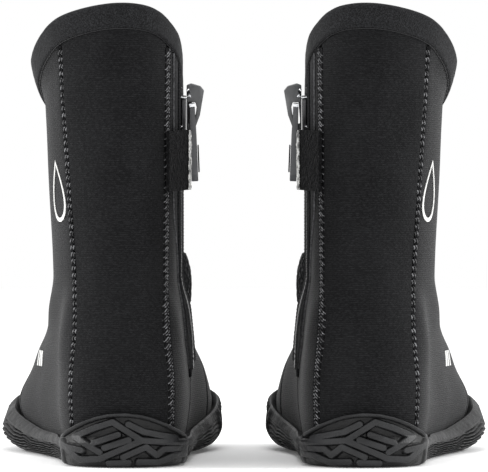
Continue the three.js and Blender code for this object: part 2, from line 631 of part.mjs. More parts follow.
function boot(side) {
  const group = new THREE.Group();
  group.name = `${side}_boot`;
  const add = (name, geometry, look) => {
    const [color, roughness] = LOOKS[look];
    const mesh = new THREE.Mesh(geometry, new THREE.MeshStandardMaterial({ color, roughness, metalness: 0 }));
    mesh.name = `${side}_${name}`;
    group.add(mesh);
  };
  const gapAt = (seam, sign) => (z) => seam(z) + (sign * GAP) / 2 / slopes(seam(z), z).round.length();
  const vamp = (sign) => () => VAMP_SEAM * sign;
  const onZip = frameOn(ZIP_AROUND, SLIDER_MIDDLE);

  add('outsole', outsole(), 'rubber');
  add('heel_counter', heelCounter(), 'rubber');
  add('toe_cap', toeCap(), 'bumper');
  add('midsole', plate(FLOOR + GAP, BOARD, 2), 'foam');
  add('insole', plate(FLOOR + 2 * GAP + BOARD, FOOTBED, 2), 'footbed');
  add('rear_panel', panel(16, gapAt(medialSeam, 1), gapAt(lateralSeam, -1)), 'neoprene');
  add('lateral_panel', panel(9, gapAt(lateralSeam, 1), gapAt(vamp(1), -1)), 'stretch');
  add('medial_rear_panel', panel(5, (z) => zipEdge(z, -1), gapAt(medialSeam, -1)), 'neoprene');
  add('medial_front_panel', panel(5, gapAt(vamp(-1), 1), (z) => zipEdge(z, 1)), 'stretch');
  add('vamp', panel(14, gapAt(vamp(1), 1), (z) => 2 + gapAt(vamp(-1), -1)(z)), 'stretch');
  add('collar_binding', binding(), 'binding');
  add('seam_lateral', seamTape(lateralSeam, SEAM_TAPE), 'thread');
  add('seam_medial', seamTape(medialSeam, SEAM_TAPE + 1.5), 'thread');
  add('emblem', emblem(), 'print');
  add('side_print', sidePrint(), 'print');
  add('ankle_guard', ankleGuard(), 'bumper');
  add('zip_gusset', zipGusset(), 'tape');
  add('zip_tape_rear', rearTape(), 'tape');
  add('zip_tape_front', frontTape(), 'tape');
  add('zip_teeth_rear', teeth(-1), 'chain');
  add('zip_teeth_front', teeth(1), 'chain');
  add('zip_top_stop_rear', stop(ZIP_TOP - STOP_LENGTH, -CHAIN_HALF, -GAP / 2), 'chain');
  add('zip_top_stop_front', stop(ZIP_TOP - STOP_LENGTH, GAP / 2, CHAIN_HALF), 'chain');
  add('zip_bottom_stop', stop(ZIP_BOTTOM, -CHAIN_HALF, CHAIN_HALF), 'chain');
  add('slider_body', sliderBody().applyMatrix4(onZip), 'slider');
  add('slider_bridge', sliderBridge().applyMatrix4(onZip), 'crown');
  add('pull_tab', pullTab().applyMatrix4(onZip), 'pull');
  add('pull_pad', pullPad().applyMatrix4(onZip), 'hook');
  add('keeper_base', keeperBase(), 'hook');
  add('keeper_tab', keeperTab().applyMatrix4(keeperFrame()), 'hook');
  return group;
}

// Both boots stand side by side, the left one the right one's mirror image. The rearmost
// point is moved to y = -half the pair's length, so that the origin is under its middle.
const pair = new THREE.Group();
pair.name = 'boots';
const right = boot('right');
const left = boot('left');
const reach = new THREE.Box3().setFromObject(right);
const middle = -(reach.min.y + reach.max.y) / 2;
right.position.set(HEEL_SPACING / 2, middle, 0);
left.position.set(-HEEL_SPACING / 2, middle, 0);
left.scale.x = -1;
pair.add(right, left);

export default pair;
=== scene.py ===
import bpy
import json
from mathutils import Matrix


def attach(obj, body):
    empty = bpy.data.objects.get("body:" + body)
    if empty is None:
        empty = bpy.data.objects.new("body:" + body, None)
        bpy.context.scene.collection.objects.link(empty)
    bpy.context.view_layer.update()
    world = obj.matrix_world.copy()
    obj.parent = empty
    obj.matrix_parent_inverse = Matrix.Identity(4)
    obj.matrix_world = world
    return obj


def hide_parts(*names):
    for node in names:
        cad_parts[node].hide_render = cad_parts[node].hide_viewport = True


bl_info = {
    "name": "Neoprene Boots",
    "version": (1, 0, 0),
    "blender": (4, 5, 0),
    "location": "View3D > Sidebar > Boots",
    "description": "Builds a pair of zipped neoprene water boots round their packed frame",
    "category": "Add Mesh",
}

import json
import math

import bpy
import numpy as np
from mathutils import Matrix, Vector

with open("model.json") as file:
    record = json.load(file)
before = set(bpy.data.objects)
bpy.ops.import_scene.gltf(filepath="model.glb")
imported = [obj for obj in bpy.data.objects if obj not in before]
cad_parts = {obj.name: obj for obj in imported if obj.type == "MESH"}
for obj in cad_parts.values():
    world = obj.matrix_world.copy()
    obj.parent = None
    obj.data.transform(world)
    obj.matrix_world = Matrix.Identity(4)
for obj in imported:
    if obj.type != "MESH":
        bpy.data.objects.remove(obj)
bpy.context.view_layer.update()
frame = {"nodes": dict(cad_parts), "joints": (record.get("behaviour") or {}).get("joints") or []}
JOINTS = {joint["name"]: joint for joint in frame["joints"]}

MM = 0.001

# The last, in millimetres: half-widths at STATIONS of the length, at rising heights
STATIONS = (0.1, 0.25, 0.5, 0.75, 0.9)
LEVELS = (8, 30, 48, 60, 70, 84, 104, 250)
HEEL = (7, 3, 4, 6, 8, 11, 14, 6)
FRONT = (279, 284, 278, 262, 234, 184, 143, 121)
HEEL_ROUND = (30, 33, 31, 31, 31, 30, 26, 30)
FRONT_ROUND = (38, 42, 32, 20, 14, 14, 20, 26)
LATERAL = ((30, 34, 47, 60, 46), (33, 37.5, 52, 66, 52), (33, 37, 49.5, 57, 40), (33, 37, 48, 50.5, 31),
           (32, 36.5, 46, 42.5, 25), (29, 35.5, 44, 36.5, 22), (24, 34, 40.6, 35, 23),
           (29, 40.5, 46.5, 37.5, 25))
MEDIAL = ((29, 32, 33, 44, 36), (31, 34.5, 36, 46.5, 41), (31, 34, 36, 42, 31), (30, 33, 35.5, 36, 24),
          (29, 32, 35, 31.5, 20), (26, 30.5, 33.5, 31, 19), (20, 27.2, 29.4, 29.2, 20),
          (21, 28.4, 30, 27.2, 19))
RULED_FROM = LEVELS[-2]
COLLAR_HEIGHT = 250
COLLAR_DROP = 65
COLLAR_BROW = 1.1
COLLAR_FLARE = 5
BINDING_DEPTH = 11.8
FLARE_DEPTH = 20
NEOPRENE = 5
SEAM_LEVELS = (8, 45, 76, 112, 250)
LATERAL_SEAM = (27, 28.6, 26.4, 27.5, 36)
MEDIAL_SEAM = (26, 26.5, 23.8, 23.2, 24.6)
VAMP_SEAM = 0.62
FLOOR = 8
SOLE_GAP = 0.6
WALL = 2.4
WALL_STATIONS = (0, *STATIONS, 1)
WALL_TOPS = (14, 14.5, 14.5, 15.5, 26, 34, 34)
LATERAL_FLARES = (0, 0, 2.5, 7, 12, 9, 4)
MEDIAL_FLARES = (0, 0, 2, 4, 5, 4, 4)
TREAD_INSET = 1.2
TREAD_SWELLS = (0.3, -0.9)
LOW_SWELLS = (0.7, 0.2)
ZIP_ALONG = 0.46
ZIP_BOTTOM = 50
ZIP_SLOT = 8.8
CHAIN_HALF = 3.2
TAPE_REACH = 14
TAPE_WIDER = 4.5
TAPE_WIDENS = (108, 146)
FLAP_WIDER = 16
LAID = 0.5


def fair(knots, values, at):
    """A fair curve through values at knots, straight after the last knot but one."""
    at = np.asarray(at, float)
    knots = np.asarray(knots, float)
    values = np.asarray(values, float)
    if values.ndim == 1:
        values = np.repeat(values[:, None], at.size, axis=1)
    last = len(knots) - 1
    slopes = np.diff(values, axis=0) / np.diff(knots)[:, None]
    tangents = np.vstack([slopes[:1], (slopes[:-2] + slopes[1:-1]) / 2, slopes[-1:], slopes[-1:]])
    i = np.clip(np.searchsorted(knots, at) - 1, 0, last - 1)
    n = np.arange(at.size)
    span = knots[i + 1] - knots[i]
    u = (at - knots[i]) / span
    v = 1 - u
    curve = (values[i, n] * v * v * (1 + 2 * u) + values[i + 1, n] * u * u * (1 + 2 * v)
             + tangents[i, n] * span * u * v * v - tangents[i + 1, n] * span * u * u * v)
    straight = (i == last - 1) | (at < knots[0])
    return np.where(straight, values[i, n] + slopes[i, n] * (at - knots[i]), curve)


def along_of(around):
    return (1 - np.cos(np.pi * np.abs(around))) / 2


def around_of(along):
    return np.arccos(1 - 2 * np.asarray(along)) / np.pi


def collar_at(around):
    return COLLAR_HEIGHT - COLLAR_DROP * along_of(around) ** COLLAR_BROW


def surface(around, z):
    """The upper's outside, in millimetres. around: 0 at the heel, 1 at the toe, below 0 on the zip's side."""
    around, z = np.broadcast_arrays(np.asarray(around, float), np.asarray(z, float))
    shape = around.shape
    around, z = around.ravel(), z.ravel()
    around = np.where(around > 1, around - 2, np.where(around < -1, around + 2, around))
    along = along_of(around)
    heel, front = fair(LEVELS, HEEL, z), fair(LEVELS, FRONT, z)
    length = front - heel
    ends = [np.sqrt(2 * fair(LEVELS, corner, z) * length) / 2 for corner in (HEEL_ROUND, FRONT_ROUND)]
    half = []
    for widths in (LATERAL, MEDIAL):
        inner = [fair(LEVELS, [row[k] for row in widths], z) / (2 * math.sqrt(s * (1 - s)))
                 for k, s in enumerate(STATIONS)]
        half.append(fair(WALL_STATIONS, np.array([ends[0], *inner, ends[1]]), along))
    sine = np.sin(np.pi * np.abs(around))
    width = np.where(around > 0, half[0], half[1]) * sine
    rise = np.clip(1 - (collar_at(around) - z) / FLARE_DEPTH, 0, 1.1)
    width = width + np.where(around > 0, COLLAR_FLARE * rise * sine ** 2, 0)
    return np.stack([np.sign(around) * width, heel + length * along, z], axis=-1).reshape(*shape, 3)


def slopes_at(around, z):
    round_ = (surface(around + 0.004, z) - surface(around - 0.004, z)) / 0.008
    up = surface(around, np.asarray(z) + 0.5) - surface(around, np.asarray(z) - 0.5)
    return round_, up


def normal_at(around, z):
    n = np.cross(*slopes_at(around, z))
    return n / np.linalg.norm(n, axis=-1, keepdims=True)


def off(around, z, out):
    return surface(around, z) + normal_at(around, z) * np.asarray(out, float)[..., None]


def aside(around, z, out):
    n = normal_at(around, z)
    n[..., 2] = 0
    n /= np.linalg.norm(n, axis=-1, keepdims=True)
    return surface(around, z) + n * np.asarray(out, float)[..., None]


def around_at_width(outward, width, z):
    z = np.asarray(z, float)
    low, high = np.zeros(z.shape), np.full(z.shape, 0.5)
    for _ in range(26):
        middle = (low + high) / 2
        inside = np.abs(surface(outward * middle, z)[..., 0]) < width
        low, high = np.where(inside, middle, low), np.where(inside, high, middle)
    return outward * low


ZIP_AROUND = -float(around_of(ZIP_ALONG))


def across(z, distance):
    """Way round and height of the point that lies a distance in front of the zip's line."""
    z = np.asarray(z, float)
    round_, up = slopes_at(np.full(z.shape, ZIP_AROUND), z)
    forward = np.cross(np.cross(round_, up), up)
    forward /= np.linalg.norm(forward, axis=-1, keepdims=True)
    forward = np.where(forward[..., 1:2] < 0, -forward, forward)
    rr, ru, uu = ((a * b).sum(-1) for a, b in ((round_, round_), (round_, up), (up, up)))
    share = (round_ * forward).sum(-1) / (rr * uu - ru * ru)
    return ZIP_AROUND + share * uu * distance, z - share * ru * distance


def beside_zip(z, distance_at):
    z = np.asarray(z, float)
    base = z.copy()
    for _ in range(60):
        around, height = across(base, distance_at(base))
        base = base + 0.35 * (z - height)
    return around


SAMPLE_HEIGHTS = np.linspace(6, 252, 124)


def sampled(function):
    """A line up the boot, worked out once and then read off."""
    values = function(SAMPLE_HEIGHTS)
    return lambda z: np.interp(z, SAMPLE_HEIGHTS, values)


lateral_seam = sampled(lambda z: around_at_width(1, fair(SEAM_LEVELS, LATERAL_SEAM, z), z))
medial_seam = sampled(lambda z: around_at_width(-1, fair(SEAM_LEVELS, MEDIAL_SEAM, z), z))


def slot_edge(direction):
    def distance(base):
        opened = np.clip((base - ZIP_BOTTOM + 5) / 12, 0, 1)
        return direction * (0.15 + (ZIP_SLOT - 0.15) * opened)
    return sampled(lambda z: beside_zip(z, distance))


zip_rear_edge, zip_front_edge = slot_edge(-1), slot_edge(1)

# Where the right boot's own centre lies in the pair's frame, from the pull's pivot
SLIDER_MIDDLE = 193.0
PIVOT_UP = 4.5
PIVOT_OUT = 7.4
PIVOT = Vector(JOINTS["right_pull_swing"]["pos_m"])
HEEL_OFFSET = 66
_side = slopes_at(np.array(ZIP_AROUND), np.array(SLIDER_MIDDLE))
_up = _side[1] / np.linalg.norm(_side[1])
_out = normal_at(np.array(ZIP_AROUND), np.array(SLIDER_MIDDLE))
_pivot = surface(np.array(ZIP_AROUND), np.array(SLIDER_MIDDLE)) + PIVOT_UP * _up + PIVOT_OUT * _out
BOOT_Y = PIVOT.y / MM - _pivot[1]


def to_pair(points):
    return (np.asarray(points) + np.array([HEEL_OFFSET, BOOT_Y, 0])) * MM


def wave_noise(points, size, seed):
    """Soft, repeatable unevenness between -1 and 1 from a few crossing waves."""
    draw = np.random.default_rng(seed)
    total = 0
    for _ in range(7):
        direction = draw.normal(size=3)
        direction /= np.linalg.norm(direction)
        total = total + np.sin(points @ direction * (2 * np.pi / (size * draw.uniform(0.6, 1.6)))
                               + draw.uniform(0, 2 * np.pi))
    return total / 4


# ---------------------------------------------------------------- making pieces


def only(*objects):
    bpy.ops.object.select_all(action="DESELECT")
    for obj in objects:
        obj.select_set(True)
    bpy.context.view_layer.objects.active = objects[0]


def put(obj, points):
    obj.data.vertices.foreach_set("co", np.asarray(points, np.float32).ravel())
    obj.data.update()


def laid(name, columns, rows, place):
    """A grid laid on the last: place takes 0 to 1 across and up, and gives metres and, if any, the relief."""
    bpy.ops.object.select_all(action="DESELECT")
    bpy.ops.mesh.primitive_grid_add(x_subdivisions=columns, y_subdivisions=rows, size=2)
    obj = bpy.context.object
    obj.name = obj.data.name = name
    co = np.zeros(len(obj.data.vertices) * 3, np.float32)
    obj.data.vertices.foreach_get("co", co)
    co = (co.reshape(-1, 3) + 1) / 2
    placed = place(co[:, 0].astype(float), co[:, 1].astype(float))
    points, raised = placed if isinstance(placed, tuple) else (placed, np.ones(len(co)))
    put(obj, points)
    # The relief is kept as the 'raised' attribute; the rubber finish paints highlights on its crests and
    # shade in its hollows
    layer = obj.data.attributes.new("raised", "FLOAT", "POINT")
    layer.data.foreach_set("value", np.asarray(raised, np.float32))
    return obj


def wall(obj, thickness, offset=-1):
    only(obj)
    modifier = obj.modifiers.new("wall", "SOLIDIFY")
    modifier.thickness = thickness * MM
    modifier.offset = offset
    bpy.ops.object.modifier_apply(modifier=modifier.name)
    return obj


def rounded(obj, width, segments=2, angle=30):
    only(obj)
    modifier = obj.modifiers.new("edge", "BEVEL")
    modifier.width = width * MM
    modifier.segments = segments
    modifier.limit_method = "ANGLE"
    modifier.angle_limit = math.radians(angle)
    modifier.harden_normals = False
    bpy.ops.object.modifier_apply(modifier=modifier.name)
    return obj


def smooth(obj, angle=40):
    only(obj)
    bpy.ops.object.shade_smooth_by_angle(angle=math.radians(angle))
    return obj


def sewn_round(obj, distance=0.00002):
    """Joins the two ends of a strip that runs right round."""
    only(obj)
    bpy.ops.object.mode_set(mode="EDIT")
    bpy.ops.mesh.select_all(action="SELECT")
    bpy.ops.mesh.remove_doubles(threshold=distance)
    bpy.ops.mesh.normals_make_consistent(inside=False)
    bpy.ops.object.mode_set(mode="OBJECT")
    return obj


def thread(name, lines, radius, closed=False):
    """Round cord along each line of points, as one mesh."""
    data = bpy.data.curves.new(name, "CURVE")
    data.dimensions = "3D"
    data.bevel_depth = radius * MM
    data.bevel_resolution = 1
    data.use_fill_caps = True
    for line in lines:
        spline = data.splines.new("POLY")
        spline.points.add(len(line) - 1)
        spline.points.foreach_set("co", np.hstack([line, np.ones((len(line), 1))]).astype(np.float32).ravel())
        spline.use_cyclic_u = closed
    obj = bpy.data.objects.new(name, data)
    bpy.context.collection.objects.link(obj)
    only(obj)
    bpy.ops.object.convert(target="MESH")
    obj = bpy.context.object
    obj.name = obj.data.name = name
    return obj


def refined(node, name, bevel, segments=3):
    """A copy of a moulded CAD piece with its edges rounded."""
    source = frame["nodes"][node]
    obj = bpy.data.objects.new(name, source.data.copy())
    bpy.context.collection.objects.link(obj)
    obj.data.materials.clear()
    only(obj)
    bpy.ops.object.mode_set(mode="EDIT")
    bpy.ops.mesh.select_all(action="SELECT")
    bpy.ops.mesh.remove_doubles(threshold=0.00001)
    bpy.ops.mesh.dissolve_limited(angle_limit=math.radians(3))
    bpy.ops.mesh.normals_make_consistent(inside=False)
    bpy.ops.object.mode_set(mode="OBJECT")
    rounded(obj, bevel, segments)
    return smooth(obj, 50)


def joined(objects, name):
    only(*objects)
    bpy.ops.object.join()
    obj = bpy.context.object
    obj.name = obj.data.name = name
    return obj


def finished(obj, material, nodes, body="boot"):
    """Gives the right boot's piece its finish and body, and makes the left boot's mirror image."""
    obj.data.materials.clear()
    obj.data.materials.append(material)
    base = obj.name
    twin = bpy.data.objects.new("left_" + base, obj.data.copy())
    twin.data.transform(Matrix.Scale(-1, 4, (1, 0, 0)))
    twin.data.flip_normals()
    twin.data.name = twin.name
    bpy.context.collection.objects.link(twin)
    obj.name = obj.data.name = "right_" + base
    for side, piece in (("right", obj), ("left", twin)):
        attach(piece, f"{side}_{body}")
        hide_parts(*[f"{side}_{node}" for node in nodes])
    return obj, twin


# ---------------------------------------------------------------- materials


class Finish:
    """A material on object coordinates, built up from a Principled shader."""

    def __init__(self, name, color, roughness, **sockets):
        self.material = bpy.data.materials.new(name)
        self.material.use_nodes = True
        self.nodes = self.material.node_tree.nodes
        self.links = self.material.node_tree.links
        self.shader = self.nodes["Principled BSDF"]
        self.shader.inputs["Base Color"].default_value = (*color, 1)
        self.shader.inputs["Roughness"].default_value = roughness
        for socket, value in sockets.items():
            self.shader.inputs[socket.replace("_", " ")].default_value = value
        self.color = color
        self.place = self.nodes.new("ShaderNodeTexCoord").outputs["Object"]
        self.last_bump = None

    def mapped(self, scale):
        node = self.nodes.new("ShaderNodeMapping")
        node.inputs["Scale"].default_value = scale
        self.links.new(self.place, node.inputs["Vector"])
        return node.outputs["Vector"]

    def noise(self, scale, detail=3, stretch=(1, 1, 1)):
        node = self.nodes.new("ShaderNodeTexNoise")
        node.inputs["Scale"].default_value = scale
        node.inputs["Detail"].default_value = detail
        self.links.new(self.mapped(stretch), node.inputs["Vector"])
        return node.outputs["Fac"]

    def bands(self, period, direction="Z", distortion=0.0):
        node = self.nodes.new("ShaderNodeTexWave")
        node.bands_direction = direction
        node.inputs["Scale"].default_value = 0.314 / period
        node.inputs["Distortion"].default_value = distortion
        node.inputs["Detail"].default_value = 1
        node.inputs["Detail Scale"].default_value = 3
        self.links.new(self.place, node.inputs["Vector"])
        return node.outputs["Fac"]

    def cells(self, scale, stretch=(1, 1, 1)):
        node = self.nodes.new("ShaderNodeTexVoronoi")
        node.inputs["Scale"].default_value = scale
        self.links.new(self.mapped(stretch), node.inputs["Vector"])
        return node.outputs["Distance"]

    def attribute(self, name):
        node = self.nodes.new("ShaderNodeAttribute")
        node.attribute_name = name
        return node.outputs["Fac"]

    def math(self, operation, a, b):
        node = self.nodes.new("ShaderNodeMath")
        node.operation = operation
        for socket, value in zip(node.inputs, (a, b)):
            if isinstance(value, (int, float)):
                socket.default_value = value
            else:
                self.links.new(value, socket)
        return node.outputs[0]

    def ramp(self, factor, low, high, dark, light):
        node = self.nodes.new("ShaderNodeMapRange")
        for socket, value in zip(("From Min", "From Max", "To Min", "To Max"), (low, high, dark, light)):
            node.inputs[socket].default_value = value
        self.links.new(factor, node.inputs["Value"])
        return node.outputs["Result"]

    def tinted(self, factor, other):
        """Base colour runs from its own colour to another by a factor."""
        node = self.nodes.new("ShaderNodeMix")
        node.data_type = "RGBA"
        node.inputs["A"].default_value = (*self.color, 1)
        node.inputs["B"].default_value = (*other, 1)
        self.links.new(factor, node.inputs["Factor"])
        self.links.new(node.outputs["Result"], self.shader.inputs["Base Color"])
        return self

    def rough(self, factor):
        self.links.new(factor, self.shader.inputs["Roughness"])
        return self

    def bump(self, height, depth, strength=1.0):
        node = self.nodes.new("ShaderNodeBump")
        node.inputs["Distance"].default_value = depth
        node.inputs["Strength"].default_value = strength
        self.links.new(height, node.inputs["Height"])
        if self.last_bump:
            self.links.new(self.last_bump, node.inputs["Normal"])
        self.last_bump = node.outputs["Normal"]
        self.links.new(self.last_bump, self.shader.inputs["Normal"])
        return self


def knit(name, color, glint, sheen):
    finish = Finish(name, color, 0.9, Sheen_Weight=sheen, Sheen_Roughness=0.35, Specular_IOR_Level=0.12)
    rows = finish.bands(0.00115, "Z", 1.5)
    grain = finish.noise(620, 5, (1, 1, 1.7))
    patches = finish.noise(30, 3)
    mixed = finish.math("MULTIPLY", finish.ramp(rows, 0, 1, 0.25, 1), finish.ramp(grain, 0.4, 0.72, 0, 1))
    shade = finish.math("ADD", finish.math("MULTIPLY", mixed, 0.9), finish.ramp(patches, 0.35, 0.7, 0, 0.2))
    finish.tinted(shade, glint)
    finish.bump(rows, 0.0002, 0.6)
    finish.bump(grain, 0.0004, 0.7)
    return finish.material


def rubber(name, color, light_tint, roughness=0.5):
    finish = Finish(name, color, roughness, Specular_IOR_Level=0.3)
    grain = finish.noise(850, 4)
    dust = finish.noise(90, 6)
    # Painted highlight and painted shade: the lighter tint falls on the crests of the relief ('raised'
    # attribute) while the grooves stay dark, broken up by dust noise
    crest_light = finish.ramp(finish.attribute("raised"), 0.35, 0.95, 0, 1)
    dust_and_crest_light = finish.math("MULTIPLY", finish.ramp(dust, 0.3, 0.7, 0.3, 1), crest_light)
    finish.tinted(dust_and_crest_light, light_tint)
    finish.rough(finish.ramp(dust, 0.3, 0.7, roughness - 0.08, roughness + 0.15))
    finish.bump(grain, 0.00035, 0.8)
    finish.bump(dust, 0.0005, 0.4)
    return finish.material


def plastic(name, color, light_tint, roughness=0.35):
    finish = Finish(name, color, roughness, Specular_IOR_Level=0.5)
    scuffs = finish.noise(160, 5, (1, 1, 0.3))
    finish.tinted(finish.ramp(scuffs, 0.5, 0.75, 0, 1), light_tint)
    finish.rough(finish.ramp(scuffs, 0.3, 0.7, roughness - 0.05, roughness + 0.15))
    finish.bump(finish.noise(1500, 2), 0.00004, 0.4)
    return finish.material


def woven(name, color, glint, period=0.0009):
    finish = Finish(name, color, 0.8, Sheen_Weight=0.03, Sheen_Roughness=0.4, Specular_IOR_Level=0.15)
    warp = finish.bands(period, "Z", 0.6)
    weft = finish.bands(period, "DIAGONAL", 0.6)
    weave = finish.math("MULTIPLY", warp, weft)
    finish.tinted(finish.ramp(weave, 0.2, 1, 0, 1), glint)
    finish.bump(weave, 0.0002, 0.7)
    finish.bump(finish.noise(1400, 2), 0.0001, 0.5)
    return finish.material


def fuzzy(name, color, glint):
    finish = Finish(name, color, 0.95, Sheen_Weight=0.04, Sheen_Roughness=0.5, Specular_IOR_Level=0.1)
    loops = finish.cells(900)
    lint = finish.noise(600, 5)
    lit = finish.math("MULTIPLY", finish.ramp(lint, 0.5, 0.72, 0, 1), finish.ramp(loops, 0, 0.6, 1, 0.3))
    finish.tinted(lit, glint)
    finish.bump(loops, 0.0007, 0.9)
    finish.bump(lint, 0.0006, 0.6)
    return finish.material


# ---------------------------------------------------------------- sizes and colours


class BOOTS_PG_upper(bpy.types.PropertyGroup):
    neoprene_color: bpy.props.FloatVectorProperty(
        name="Neoprene", description="Colour of the back panels", subtype="COLOR",
        default=(0.005, 0.005, 0.0055))
    stretch_color: bpy.props.FloatVectorProperty(
        name="Stretch panels", description="Colour of the side panels", subtype="COLOR",
        default=(0.006, 0.006, 0.0065))
    binding_color: bpy.props.FloatVectorProperty(
        name="Binding", description="Colour of the collar's binding", subtype="COLOR",
        default=(0.007, 0.007, 0.0075))
    stitch_pitch: bpy.props.FloatProperty(
        name="Stitch pitch", description="Height of one zigzag stitch, in millimetres",
        default=3.8, min=2, max=8)
    unevenness: bpy.props.FloatProperty(
        name="Unevenness", description="How far the soft upper wanders from its last, in millimetres",
        default=0.45, min=0, max=2)


class BOOTS_PG_sole(bpy.types.PropertyGroup):
    rubber_color: bpy.props.FloatVectorProperty(
        name="Rubber", description="Colour of the sole", subtype="COLOR", default=(0.0035, 0.0035, 0.0038))
    # Lighter rubber colour: partly dust, partly painted highlight on the crests of the sole's and heel
    # counter's relief
    dust_and_highlight_color: bpy.props.FloatVectorProperty(
        name="Worn rubber", description="Colour of the dusty, worn rubber", subtype="COLOR",
        default=(0.026, 0.0265, 0.028))
    rib_depth: bpy.props.FloatProperty(
        name="Rib depth", description="Depth of the grooves along the side wall, in millimetres", default=1.9,
        min=0, max=3)
    rib_count: bpy.props.IntProperty(
        name="Ribs", description="Number of ribs up the side wall", default=7, min=2, max=14)


class BOOTS_PG_fastening(bpy.types.PropertyGroup):
    crown_color: bpy.props.FloatVectorProperty(
        name="Crown", description="Colour of the slider's arched crown", subtype="COLOR",
        default=(0.085, 0.087, 0.09))
    pull_color: bpy.props.FloatVectorProperty(
        name="Pull", description="Colour of the pull tab", subtype="COLOR", default=(0.085, 0.087, 0.092))
    tooth_pitch: bpy.props.FloatProperty(
        name="Tooth pitch", description="Distance between teeth of one row, in millimetres", default=2.6,
        min=1.5, max=6)


# ---------------------------------------------------------------- upper


def uneven(around, z):
    """How far the soft upper wanders from its last; calm near the sole, the collar and the zip."""
    amount = bpy.context.scene.boots_upper.unevenness
    points = surface(around, z)
    fade = np.clip((z - 30) / 40, 0, 1) * np.clip((collar_at(around) - 14 - z) / 25, 0, 1)
    away = np.clip(np.abs(around - ZIP_AROUND) / 0.12 - 0.6, 0.15, 1)
    return wave_noise(points, 60, 11) * amount * fade * away


def panel(name, columns, rows, left, right, top=1.0):
    """One neoprene panel, its edges dipping into the seams."""

    def place(u, v):
        u = (1 - np.cos(np.pi * u)) / 2
        z = np.full(u.shape, 100.0)
        around = np.zeros(u.shape)
        for _ in range(8):
            around = left(z) * (1 - u) + right(z) * u
            above = (v - 0.58) / 0.42
            low = np.interp(v, [0, 0.14, 0.58], [FLOOR + 0.4, 36, RULED_FROM])
            z = np.where(v <= 0.58, low, RULED_FROM + (collar_at(around) - top - RULED_FROM) * above)
        width = np.linalg.norm(slopes_at(around, z)[0], axis=-1) * np.abs(right(z) - left(z))
        edge = np.minimum(u, 1 - u) * width
        dip = 1.0 * np.clip(1 - edge / 2.6, 0, 1) ** 2
        return to_pair(off(around, z, uneven(around, z) - dip))

    obj = laid(name, columns, rows, place)
    return smooth(wall(obj, NEOPRENE), 60)


class BOOTS_OT_upper(bpy.types.Operator):
    """Lays the five neoprene panels on the last"""

    bl_idname = "boots.upper"
    bl_label = "Neoprene Panels"

    def execute(self, context):
        look = context.scene.boots_upper
        back = knit("back_neoprene", look.neoprene_color, (0.02, 0.0205, 0.0215), 0.02)
        sides = knit("side_neoprene", look.stretch_color, (0.022, 0.0225, 0.024), 0.15)
        gap = 0.0012
        finished(panel("rear_panel", 44, 110, lambda z: medial_seam(z) + gap,
                       lambda z: lateral_seam(z) - gap), back, ["rear_panel"])
        finished(panel("lateral_panel", 60, 110, lambda z: lateral_seam(z) + gap,
                       lambda z: np.full(np.shape(z), VAMP_SEAM - gap)), sides, ["lateral_panel"])
        finished(panel("medial_rear_panel", 26, 110, zip_rear_edge, lambda z: medial_seam(z) - gap),
                 sides, ["medial_rear_panel"])
        finished(panel("medial_front_panel", 40, 110, lambda z: np.full(np.shape(z), -VAMP_SEAM + gap),
                       zip_front_edge), sides, ["medial_front_panel"])
        finished(panel("vamp", 80, 120, lambda z: np.full(np.shape(z), VAMP_SEAM + gap),
                       lambda z: np.full(np.shape(z), 2 - VAMP_SEAM - gap)), sides, ["vamp"])
        return {"FINISHED"}


class BOOTS_OT_collar(bpy.types.Operator):
    """Folds the binding over the collar's edge and stitches it down"""

    bl_idname = "boots.collar"
    bl_label = "Collar Binding"

    def execute(self, context):
        look = context.scene.boots_upper
        cloth = Finish("binding_cloth", look.binding_color, 0.9, Sheen_Weight=0.06, Sheen_Roughness=0.4,
                       Specular_IOR_Level=0.12)
        lint = cloth.noise(1500, 4)
        cloth.tinted(cloth.ramp(lint, 0.42, 0.72, 0, 1), (0.03, 0.031, 0.033))
        cloth.bump(lint, 0.0003, 0.6)
        cloth.bump(cloth.bands(0.0009, "DIAGONAL", 2), 0.00015, 0.4)
        low = BINDING_DEPTH
        profile = np.array([(low, 0.5), (low, 1.3), (low - 0.8, 1.8), (9, 2.05), (6, 2.1), (2, 2.1), (0, 1.9),
                            (-1, 1.2), (-1.5, 0), (-1.6, -2.5), (-1.5, -5), (-1, -6.4), (0, -6.9), (3, -6.9),
                            (low, -6.8), (low, -5.6), (0.7, -5.5), (0.5, -2.5), (0.7, 0.4),
                            (low, 0.5)], float)
        turns = np.linspace(0, 1, len(profile))

        def place(u, v):
            around = -1 + 2 * u
            down = np.interp(v, turns, profile[:, 0])
            out = np.interp(v, turns, profile[:, 1])
            at = np.maximum(down, 0)
            points = surface(around, collar_at(around))
            puff = wave_noise(points, 26, 5) * 0.22 + wave_noise(points + down[:, None] * 2, 9, 8) * 0.08
            outside = np.clip(out, 0, 1) * np.clip((low - at) / 3, 0, 1)
            return to_pair(off(around, collar_at(around) - down, out + puff * outside))

        binding = laid("collar_binding", 220, 57, place)
        finished(smooth(sewn_round(binding), 50), cloth.material, ["collar_binding"])

        around = np.linspace(-1, 1, 400, endpoint=False)
        bob = 0.35 + 0.15 * np.sin(around * np.pi * 150)
        stitch = to_pair(off(around, collar_at(around) - low - 0.4, bob))
        dark = Finish("stitch_thread", (0.006, 0.006, 0.007), 0.6, Specular_IOR_Level=0.4)
        dark.bump(dark.bands(0.0006, "DIAGONAL"), 0.0001)
        finished(smooth(thread("collar_stitch", [stitch], 0.42, True)), dark.material, [])
        return {"FINISHED"}


